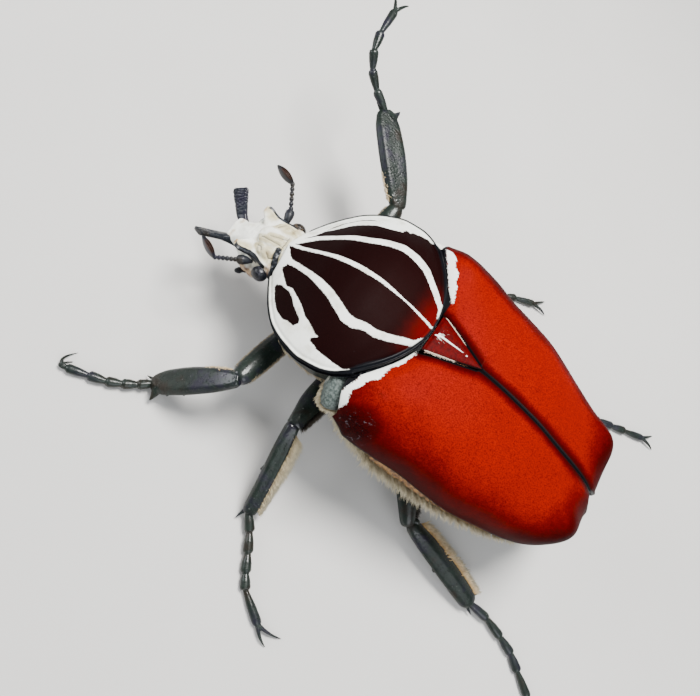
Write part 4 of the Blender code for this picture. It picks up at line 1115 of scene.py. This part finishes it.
def make_head():
    parts = [tube_mesh(trunk_rings(HEAD_ROWS, 60, 72, (2.6, 2.2))), ellipsoid(*HEAD_CROWN)]
    for side in SIDES.values():
        parts.append(tube_mesh(lobe_rings(side)))
        parts += [ellipsoid(mirrored(centre, side), radii) for centre, radii in HEAD_SWELLS]
    made = new_skin("head_skin", parts, "head")
    remesh(made, *REMESHES["head"])
    points = points_of(made)
    upward = np.clip(normals_of(made)[:, 2] * 2, 0, 1)
    flat = points[:, :2]
    crack = np.minimum.reduce([segment_distance(flat, dense(line)) for line in HEAD_CRACKS])
    crack = np.where(upward > 0.3, crack, 9.0)
    collar = segment_distance(flat, dense(HEAD_COLLAR))
    lift(made, 0.16 * clouds(points, 0.5, 2.0) + 0.07 * clouds(points, 1.5, 5.0)
         + upward * (0.1 * bell(crack - 0.45, 0.3) - 0.12 * bell(crack, 0.14)
                     - 0.25 * bell(collar - 0.75, 0.16)))

    x, y, z = points_of(made).T
    out = np.abs(y)
    on_either = np.stack([x, out, z], -1)
    # Black: a band along each lobe's edge, the collar, and what the pronotum hides
    _, outer, height, _ = smooth(LOBE_ROWS, x)
    broad = np.where(y > 0, np.interp(x, (28.4, 29.8, 31.2, 35), (0.0, 0.3, 0.85, 0.95)), 0.6)
    beyond = np.where(x > 28.4, out - (outer - broad), -1.0)
    band = np.minimum(beyond * 2, 1.35 - np.abs(z - height - LOBE_RAISE * 0.6))
    black = np.maximum.reduce([
        np.where(x < 35.1, band, -1.0), np.where(z > 14.5, 0.55 - collar, -1.0),
        np.clip(np.minimum(26.9 - x, np.maximum(y, 14.0 - z)), -1.0, 0.9),
    ])
    warm = [level * bell(segment_distance(on_either, path), width) for level, path, width in WARM_SPOTS]
    warm += [0.8 * ramp(z, 13.1, 12.3) * ramp(x, 33.9, 33.1), 0.8 * (z < 10.4)]
    # Cream tone with painted shade on the frons's swellings, beside the cracks and along the lobes
    cream = [bell(x - 29.0, 2.1) * bell(out - 3.2, 1.9), 0.75 * bell(crack - 0.3, 0.45),
             0.8 * bell(segment_distance(on_either, CREAM_AND_SHADE_PATH), 1.0)]
    add_attributes(made, crack=crack, black=black, warm=np.maximum.reduce(warm),
                   cream=np.maximum.reduce(cream))
    stand_for(made, "chalk_white", "head")


def make_eye(name, side):
    centre = mirrored(EYE_CENTRE, side)
    made = new_skin(f"eye_skin_{name}", [ellipsoid(centre, EYE_RADII, 80, 116)], f"eye_{name}")
    points = points_of(made)
    ring = np.abs((points[:, 1] - centre[1]) * side + 0.35)
    facets = cell_distances(points, 0.2)[:, 0]
    lift(made, 0.022 * (0.5 - facets) - 0.09 * bell(ring, 0.12) + 0.04 * clouds(points, 0.9, side))
    stand_for(made, "eye_dark", f"eye_{name}")


def make_horn(name, side):
    """Horn that widens to a flat end, its outer edge turned up."""
    path = dense(mirrored(HORN_PATH, side), 26)
    sizes = profiled(HORN_PROFILE, np.linspace(0, 1, len(path)))
    horn = tube(path, *sizes, 88, up=(0.42, -0.5 * side, 0.757), power=3.0)
    made = new_skin(f"horn_skin_{name}", [horn], "horn")
    points = points_of(made)
    found = cell_distances(points, 0.52, side)
    edge = np.clip((found[:, 1] - found[:, 0]) / 0.28, 0, 1)
    reach = np.linalg.norm(points - path[0], axis=1) / np.linalg.norm(path[-1] - path[0])
    lift(made, (edge - 1) * 0.13 * np.clip((reach - 0.42) / 0.2, 0.1, 1))
    stand_for(made, "shell_black", f"horn_{name}")


def make_palp(name, side):
    path = dense(mirrored(PALP_PATH, side), 14)
    radii = np.interp(np.linspace(0, 1, len(path)), *PALP_PROFILE)
    made = new_skin(f"palp_skin_{name}", [tube(path, radii, radii, 24)], "antenna")
    stand_for(made, "shell_black", f"palp_{name}")


def make_antenna(name):
    """Stout first segment, a beaded stem and a club of three leaves."""
    foot, elbow, bend, tip = np.array(ANTENNA_PATHS[name], float)
    t = np.linspace(0, 1, 40)
    scape = (foot + (elbow - foot) * (t[:, None] * 1.1 - 0.02)
             + np.array((0, 0, 0.25)) * np.sin(np.pi * t[:, None]))
    radii = np.interp(t, *SCAPE_PROFILE)
    parts = [tube(scape, radii, radii * 0.95, 28)]
    t = np.linspace(0, 1, STEM_BEADS * 14 + 1)
    radii = 0.2 + 0.26 * np.abs(np.sin(np.pi * STEM_BEADS * t)) ** 0.7
    parts.append(tube(elbow + (bend - elbow) * (t[:, None] * 1.05), radii, radii, 20))
    ahead = unit(tip - bend)
    sideways = unit(np.cross(ahead, (0, 0, 1)))
    t = np.linspace(0, 1, 34)
    widths = 0.2 * np.clip(np.sin(np.pi * np.clip(t, 0.03, 0.97)), 0.1, 1) ** 0.4
    depths = 0.98 * np.clip(np.sin(np.pi * np.clip(t * 0.94 + 0.05, 0, 1)), 0.12, 1) ** 0.7
    for leaf in (-1, 0, 1):
        path = (bend + (tip - bend) * (t[:, None] * 1.04 - 0.04) + sideways * (0.36 * leaf)
                + sideways * (-0.25 * leaf * (2 * t[:, None] - 1) ** 2))
        parts.append(tube(path, widths, depths, 28))
    made = new_skin(f"antenna_skin_{name}", parts, "antenna")
    points = points_of(made)
    club = np.clip(((points - bend) @ ahead) / 0.8, 0, 1) * (np.linalg.norm(points - foot, axis=1) > 3.6)
    add_attributes(made, brown=club * ramp((points - bend) @ np.cross(sideways, ahead), 0.6, 0.72))
    stand_for(made, "shell_black", f"antenna_{name}")


# Legs

def square_to(direction):
    """Sideways and upward unit vectors square to a direction."""
    sideways = unit(np.cross(direction, (0, 0, 1)))
    return sideways, np.cross(sideways, direction)


def ridged(strength, ridges):
    """Lengthwise ridges on a tube, fading at its ends."""
    def relief(count, turn):
        fade = np.sin(np.pi * np.linspace(0, 1, count)) ** 0.5
        wave = sum(bell(np.angle(np.exp(1j * (turn - at))), width) * size for at, width, size in ridges)
        return 1 + strength * fade[:, None] * wave[None, :]
    return relief


def limb_mesh(start, end, profile, bow, count, sides, relief, power=2.2):
    shares = np.linspace(0, 1, count)
    upward = square_to(unit(end - start))[1]
    path = start + (end - start) * shares[:, None] + upward * (bow * np.sin(np.pi * shares))[:, None]
    return tube(path, *smooth(profile, shares), sides, power=power, relief=relief)


def spike(root, tip, radius, bend, sides=14, count=12):
    """Pointed spine from root to tip, bowed by bend."""
    shares = np.linspace(0, 1, count)[:, None]
    radii = radius * (1 - 0.88 * shares[:, 0] ** 1.3)
    path = root + (tip - root) * shares + bend * np.sin(np.pi * shares)
    return tube(path, radii, radii, sides)


def outer_side(pair, side):
    """Rough direction in which a tibia's toothed edge looks."""
    return np.array((0.2, side, 0)) if pair == "fore" else np.array((1, side * 0.3, 0))


def outward_from(ahead, reference):
    """Sideways vector on the reference's side of a limb, and the upward one."""
    sideways, upward = square_to(ahead)
    return (-sideways if sideways @ reference < 0 else sideways), upward


def tibia_parts(start, end, pair, side):
    ahead = unit(end - start)
    sideways, upward = outward_from(ahead, outer_side(pair, side))
    broader = RAISED_TIBIA_BREADTH if pair == "fore" and side < 0 else 1.0
    profile = tuple((share, half * broader, thick) for share, half, thick in TIBIA_PROFILES[pair])
    ridges = ridged(*(HIND_TIBIA_RIDGES if pair == "hind" else TIBIA_RIDGES))
    parts = [limb_mesh(start - ahead * 0.7, end, profile, 0.5, 110, 60, ridges, 2.4)]
    for share, reach, radius in TIBIA_TEETH[pair]:
        half = float(smooth(profile, share)[0])
        root = start + (end - start) * (share - 0.06) + sideways * (half * 0.3) + upward * 0.3
        tip = start + (end - start) * share + ahead * 0.6 + sideways * (half + reach)
        parts.append(spike(root, tip, radius, -ahead * 0.18))
    for along, inward, foot in TIBIA_SPURS[pair]:
        root = end - ahead * 1.2 - sideways * foot
        tip = end + ahead * along - sideways * inward - np.array((0, 0, 0.3))
        if end[2] < RAISED_FOOT_Z:
            tip[2] = max(tip[2], FLOOR_Z + SPUR_FLOOR_CLEARANCE)
        parts.append(spike(root, tip, SPUR_RADIUS, sideways * 0.12))
    return parts


def tarsus_parts(joints, hook=(0, 0, 0), curl=0.5, spread=CLAW_SPREAD):
    """Five bead-like segments, small spines at their ends, and two claws."""
    parts = []
    shares = np.linspace(0, 1, 30)
    for i, (start, end) in enumerate(zip(joints, joints[1:])):
        last = i == len(joints) - 2
        if i == 0:
            start = start - (end - start) * 0.12
        path = start + (end - start) * (shares[:, None] * 1.12 - 0.06)
        sizes = [size * (0.9 if last else 1.0) for size in profiled(TARSAL_PROFILE, shares)]
        parts.append(tube(path, *sizes, 22))
        ahead = unit(end - start)
        sideways = square_to(ahead)[0]
        for turn in () if last else (1, -1):
            root = end - ahead * 0.5 + sideways * (turn * 0.35)
            tip = end + ahead * 0.3 + sideways * (turn * 0.72) - np.array((0, 0, 0.25))
            parts.append(spike(root, tip, TARSAL_SPINE_RADIUS, sideways * (turn * 0.1), 10, 8))
    t = np.linspace(-0.15, 1, 30)[:, None]
    radii = CLAW_RADIUS * np.interp(t[:, 0], (-0.15, 0.2, 0.5, 0.8, 1), (1.0, 0.9, 0.68, 0.42, 0.14))
    for turn in (spread, -spread):
        path = (end + ahead * (CLAW_LENGTH * t * np.cos(curl * t)) + sideways * (turn * CLAW_LENGTH * t)
                + np.array((0, 0, 1)) * (0.9 * t - 1.5 * t * t) + np.array(hook) * t * t)
        parts.append(tube(path, radii * 0.8, radii, 16))
    return parts


def leg_piece(kind, key, parts):
    made = new_skin(f"{kind}_skin_{key}", parts, "leg")
    if kind in REMESHES:
        remesh(made, *REMESHES[kind])
    return stand_for(made, "shell_black", f"{kind}_{key}")


def punctured(made, spacing, depth, seed):
    """Presses pits into a mesh, about so far apart, their depth varied in patches by noise."""
    points = points_of(made)
    found = cell_distances(points, spacing, seed)[:, 0]
    patches = np.clip(clouds(points, 0.35, seed) * 1.6 + 0.75, 0.15, 1)
    lift(made, -depth * patches * np.clip(1 - found / 0.4, 0, 1) ** 1.2)


def make_leg(key, joints):
    pair = key.split("_")[0]
    joints = np.array(joints, float)
    side = 1 if joints[1][1] > 0 else -1
    radii = COXA_RADII[pair]
    centre = joints[0] * (1, 0.95, 1) - (0, 0, 0.2)
    coxa = leg_piece("coxa", key, [ellipsoid(centre, radii, 40, 56, 2.2)])
    points = points_of(coxa)
    fold = bell(points[:, 1] * side - abs(centre[1]) - radii[1] * 0.45, 0.3)
    lift(coxa, 0.09 * clouds(points, 0.7, side) - 0.16 * fold)

    knee = joints[1]
    toward = unit(knee - joints[0])
    hip = joints[0] + toward * (radii[1] * 0.6)
    end = knee + KNEE_SHIFTS.get(key, 0)
    femur = [limb_mesh(hip, end, FEMUR_PROFILES[pair], 0, 90, 48, ridged(*FEMUR_RIDGES))]
    across, upward = square_to(toward)
    for turn in (1, -1):
        condyle = knee - toward * 0.75 + across * (0.62 * turn) + upward * 0.15
        femur.append(ellipsoid(condyle, CONDYLE_RADII, 24, 28))
    femur = leg_piece("femur", key, femur)
    tibia = leg_piece("tibia", key, tibia_parts(knee, joints[2], pair, side))
    punctured(femur, *FEMUR_PITS, side)
    punctured(tibia, *TIBIA_PITS[pair], 3 + side)
    for limb in (femur, tibia):
        add_attributes(limb, knee=bell(np.linalg.norm(points_of(limb) - knee, axis=1), KNEE_SHINE_REACH))

    tarsus = leg_piece("tarsus", key, tarsus_parts(joints[2:], *CLAW_HOOKS.get(key, ())))
    add_attributes(tarsus, knee=np.full(len(tarsus.data.vertices), TARSUS_SHINE))
    if key != "fore_right":
        points = points_of(tarsus)
        points[:, 2] = np.maximum(points[:, 2], FLOOR_Z)
        set_points(tarsus, points)
    make_fringes(key, "femur", femur, joints[:2])
    make_fringes(key, "tibia", tibia, joints[1:3])


# Coats of hair

def scatter(made, count, weigh):
    """Places and normals spread over a mesh, denser where the weight is higher."""
    data = made.data
    data.calc_loop_triangles()
    corners = np.empty(len(data.loop_triangles) * 3, int)
    data.loop_triangles.foreach_get("vertices", corners)
    triangles = points_of(made)[corners.reshape(-1, 3)]
    normals = np.cross(triangles[:, 1] - triangles[:, 0], triangles[:, 2] - triangles[:, 0])
    areas = np.maximum(np.linalg.norm(normals, axis=1), 1e-12)
    normals = normals / areas[:, None]
    chance = areas * np.maximum(weigh(triangles.mean(1), normals), 0)
    picked = RNG.choice(len(triangles), count, p=chance / chance.sum())
    share = RNG.random((count, 2))
    over = share.sum(1) > 1
    share[over] = 1 - share[over]
    a, b, c = triangles[picked].transpose(1, 0, 2)
    return a + share[:, :1] * (b - a) + share[:, 1:] * (c - a), normals[picked]


def hair_faces(count, steps):
    """Faces of so many three-sided hairs that end in a point, and how many points each has."""
    width = 3 * steps + 1
    quads = [(3 * step + k, 3 * step + (k + 1) % 3, 3 * step + (k + 1) % 3 + 3, 3 * step + k + 3)
             for step in range(steps - 1) for k in range(3)]
    ends = [(0, 2, 1)] + [(width - 4 + k, width - 4 + (k + 1) % 3, width - 1) for k in range(3)]
    base = np.arange(count)[:, None, None] * width
    return [(base + np.array(group)).reshape(-1, len(group[0])) for group in (quads, ends)], width


def make_coat(name, carrier, tufts, weigh, flow_of, length_of, unwrap, look, radius=0.042, per=4, droop=0.25,
              spread=0.13, slot="chalk_white"):
    """One mesh of tapered, bent hairs in small tufts, rooted in the carrier's surface."""
    places, normals = scatter(carrier, tufts, weigh)
    flows = unit(flow_of(places, normals) + RNG.normal(0, HAIR_DISORDER, places.shape))
    lengths = length_of(places) * RNG.uniform(0.72, 1.12, tufts)
    patches = unwrap(places)
    places, normals, flows, patches = [np.repeat(part, per, 0) for part in (places, normals, flows, patches)]
    count = len(places)
    lengths = np.repeat(lengths, per) * RNG.uniform(0.82, 1.1, count)
    apart = RNG.normal(0, spread, places.shape)
    apart -= normals * (apart * normals).sum(1)[:, None]
    roots = places + apart - normals * HAIR_ROOT_DEPTH
    reach = flows * lengths[:, None] - apart * 0.55
    sag = (-normals * 0.55 + np.array((0, 0, -0.45))) * (droop * lengths)[:, None]
    across = unit(np.cross(reach, normals + RNG.normal(0, 0.3, places.shape)))
    rings, along = [], []
    for t, size in HAIR_STEPS:
        centre = roots + reach * t + sag * t * t
        upward = np.cross(unit(reach + sag * (2 * t)), across)
        for angle in 2 * np.pi * np.arange(3) / 3:
            rings.append(centre + (across * math.cos(angle) + upward * math.sin(angle)) * (radius * size))
            along.append(t)
    faces, width = hair_faces(count, len(HAIR_STEPS))
    points = np.stack(rings + [roots + reach + sag], 1).reshape(-1, 3)
    along = np.tile(along + [1.0], count)
    made = new_mesh(name, points, faces, look)
    add_attributes(made, along=along)
    aside = np.tile([(k % 3 - 1) * 0.5 for k in range(width - 1)] + [0.0], count)
    flat = np.repeat(patches, width, 0) + HAIR_PATCH * np.stack([aside, along - 0.5], -1)
    layer = made.data.uv_layers.new(name="OFBake")
    corners = np.empty(len(made.data.loops), int)
    made.data.loops.foreach_get("vertex_index", corners)
    layer.data.foreach_set("uv", np.clip(flat, 0.001, 0.999)[corners].astype(np.float32).reshape(-1))
    stand_for(made, slot)


def body_unwrap(places):
    """Place on the body rolled out flat: round it, and along it."""
    turn = np.arctan2(places[:, 1], 14.0 - places[:, 2]) / (2 * np.pi) + 0.5
    return np.stack([0.02 + 0.96 * turn, 0.02 + 0.96 * (places[:, 0] + 50) / 90], -1)


def limb_unwrap(start, end):
    """Place on a limb rolled out flat: round its axis, and along it."""
    ahead = unit(end - start)
    sideways, upward = square_to(ahead)

    def unwrap(places):
        off = places - start
        turn = np.arctan2(off @ upward, off @ sideways) / (2 * np.pi) + 0.5
        share = np.clip(off @ ahead / np.linalg.norm(end - start), -0.1, 1.1)
        return np.stack([0.02 + 0.96 * turn, 0.1 + 0.8 * share], -1)
    return unwrap


def even(length):
    """Hairs of one length everywhere."""
    return lambda places: np.full(len(places), length)


def make_flank_coats(trunk):
    for name, side in SIDES.items():
        def flank(places, normals):
            x, y, z = (places * (1, side, 1)).T
            shelf = np.interp(x, *ELYTRA_SHELF)
            band = (0.3 + 0.7 * rise(z, 8.5, 11.0)) * rise(z, 6.4, 8.2) * rise(z, shelf - 2.0, shelf - 3.0)
            return (band * rise(normals[:, 1] * side, 0.1, 0.5) * (y > 3)
                    * rise(x, -43.0, -40.0) * rise(x, 7.2, 4.0))

        def chest(places, normals):
            x, y, z = (places * (1, side, 1)).T
            return (rise(y, 5.5, 9.5) * rise(z, 15.5, 12.5) * (y > 0)
                    * rise(x, -12.0, -8.0) * rise(x, 22.0, 18.0))

        make_coat(f"flank_coat_{name}", trunk, 3400, flank,
                  lambda places, normals: normals * 0.78 + REAR * 0.55 - UP * 0.3,
                  lambda places: 1.8 + 1.5 * rise(places[:, 0], -38, -14), body_unwrap, "hair", 0.034)
        make_coat(f"chest_coat_{name}", trunk, 1600, chest,
                  lambda places, normals: normals * 0.35 + REAR * 0.9, even(1.7), body_unwrap, "hair", 0.04)


def make_fringes(key, part, limb, ends):
    """Fringes along a femur or a tibia, between the two ends of its axis."""
    pair = key.split("_")[0]
    start, end = ends
    ahead = unit(end - start)
    reference = outer_side(pair, 1 if end[1] > 0 else -1) if part == "tibia" else np.array((1.0, 0, 0))
    sideways, upward = outward_from(ahead, reference)
    for number, (low, high, near, far, tufts, look, turn) in enumerate(LEG_FRINGES[(pair, part)]):
        edge = sideways * turn

        def share_of(places):
            return (places - start) @ ahead / np.linalg.norm(end - start)

        def weigh(places, normals):
            share = share_of(places)
            return (rise(share, low, low + 0.05) * rise(share, high, high - 0.05)
                    * rise(normals @ edge, 0.72, 0.95))

        make_coat(f"{part}_fringe_{key}_{number + 1}", limb, tufts, weigh,
                  lambda places, normals: edge * 0.8 + ahead * 0.62 + upward * 0.08,
                  lambda places: near + (far - near) * ramp(share_of(places), low, high),
                  limb_unwrap(start, end), look, 0.034, 4, 0.1, 0.1, "shell_black")


def make_trims(scutellum, plates):
    """Down along the scutellum's sides, and the hairy rims of the side plates."""
    def sides(places, normals):
        x, y, _ = places.T
        return ((np.abs(y) > scutellum_half(x) - 0.3) * rise(x, -6.6, -4.0) * rise(x, -0.9, -1.4)
                * (normals[:, 2] > 0.3))

    def base(places, normals):
        return np.exp(-((places[:, 0] + 1.2) / 0.7) ** 2 - (places[:, 1] / 0.9) ** 2) * (normals[:, 2] > 0.3)

    def along(places, normals):
        outer = np.sign(places[:, 1])[:, None] * np.array((0, 1.0, 0))
        return REAR * 0.9 + outer * 0.28 + normals * 0.12

    make_coat("scutellum_down", scutellum, 260, sides, along, even(0.4), body_unwrap, "hair_white",
              0.022, 3, 0.05, 0.06)
    make_coat("scutellum_tuft", scutellum, 80, base,
              lambda places, normals: REAR * 0.8 + normals * 0.3 + places * (0, 0.5, 0), even(0.8),
              body_unwrap, "hair_white", 0.018, 3, 0.1, 0.09)
    for name, side in SIDES.items():
        def rim(places, normals):
            return rise(normals[:, 1] * side, -0.1, 0.4) * rise(places[:, 2], 21.4, 20.2)

        make_coat(f"side_plate_coat_{name}", plates[name], 380, rim,
                  lambda places, normals: normals * 0.6 + REAR * 0.35 + np.array((0, 0.35 * side, -0.45)),
                  even(1.2), body_unwrap, "hair", 0.036)


# Floor, lights and camera

def make_floor():
    count = 25
    steps = np.linspace(-FLOOR_HALF, FLOOR_HALF, count)
    x, y = grid(steps, steps)
    new_sheet("floor", np.stack([x, y, 0 * x + FLOOR_Z - FLOOR_DROP], -1), count, count, "floor")


def make_light(name, place, size, power, tint):
    data = bpy.data.lights.new(name, "AREA")
    data.shape = "DISK"
    data.size = size
    data.energy = power
    data.color = tint
    made = bpy.data.objects.new(name, data)
    made.location = place
    made.rotation_euler = (Vector(LIGHT_AIM) - Vector(place)).to_track_quat("-Z", "Y").to_euler()
    bpy.context.scene.collection.objects.link(made)


def make_world():
    world = bpy.data.worlds.new("studio")
    bpy.context.scene.world = world
    world.use_nodes = True
    back = world.node_tree.nodes["Background"]
    back.inputs["Color"].default_value = WORLD_TINT
    back.inputs["Strength"].default_value = WORLD_STRENGTH


def make_camera():
    data = bpy.data.cameras.new("view")
    data.sensor_width = 36
    data.lens = CAMERA_LENS
    data.clip_start = CAMERA_NEAREST
    made = bpy.data.objects.new("view", data)
    right, down, ahead = Vector(CAMERA_RIGHT), Vector(CAMERA_DOWN), Vector(CAMERA_FORWARD)
    turn = Matrix((right, -down, -ahead)).transposed()
    made.matrix_world = Matrix.Translation(CAMERA_PLACE) @ turn.to_4x4()
    bpy.context.scene.collection.objects.link(made)
    bpy.context.scene.camera = made


def build():
    make_camera()
    make_world()
    make_floor()
    for light in LIGHTS:
        make_light(*light)
    make_pronotum()
    scutellum = make_scutellum()
    trunk = make_trunk()
    make_pygidium()
    make_head()
    plates = {}
    for name, side in SIDES.items():
        make_elytron(name, side)
        plates[name] = make_side_plate(name, side)
        make_eye(name, side)
        make_horn(name, side)
        make_palp(name, side)
        make_antenna(name)
    for key, joints in LEG_JOINTS.items():
        make_leg(key, joints)
    make_flank_coats(trunk)
    make_trims(scutellum, plates)


build()
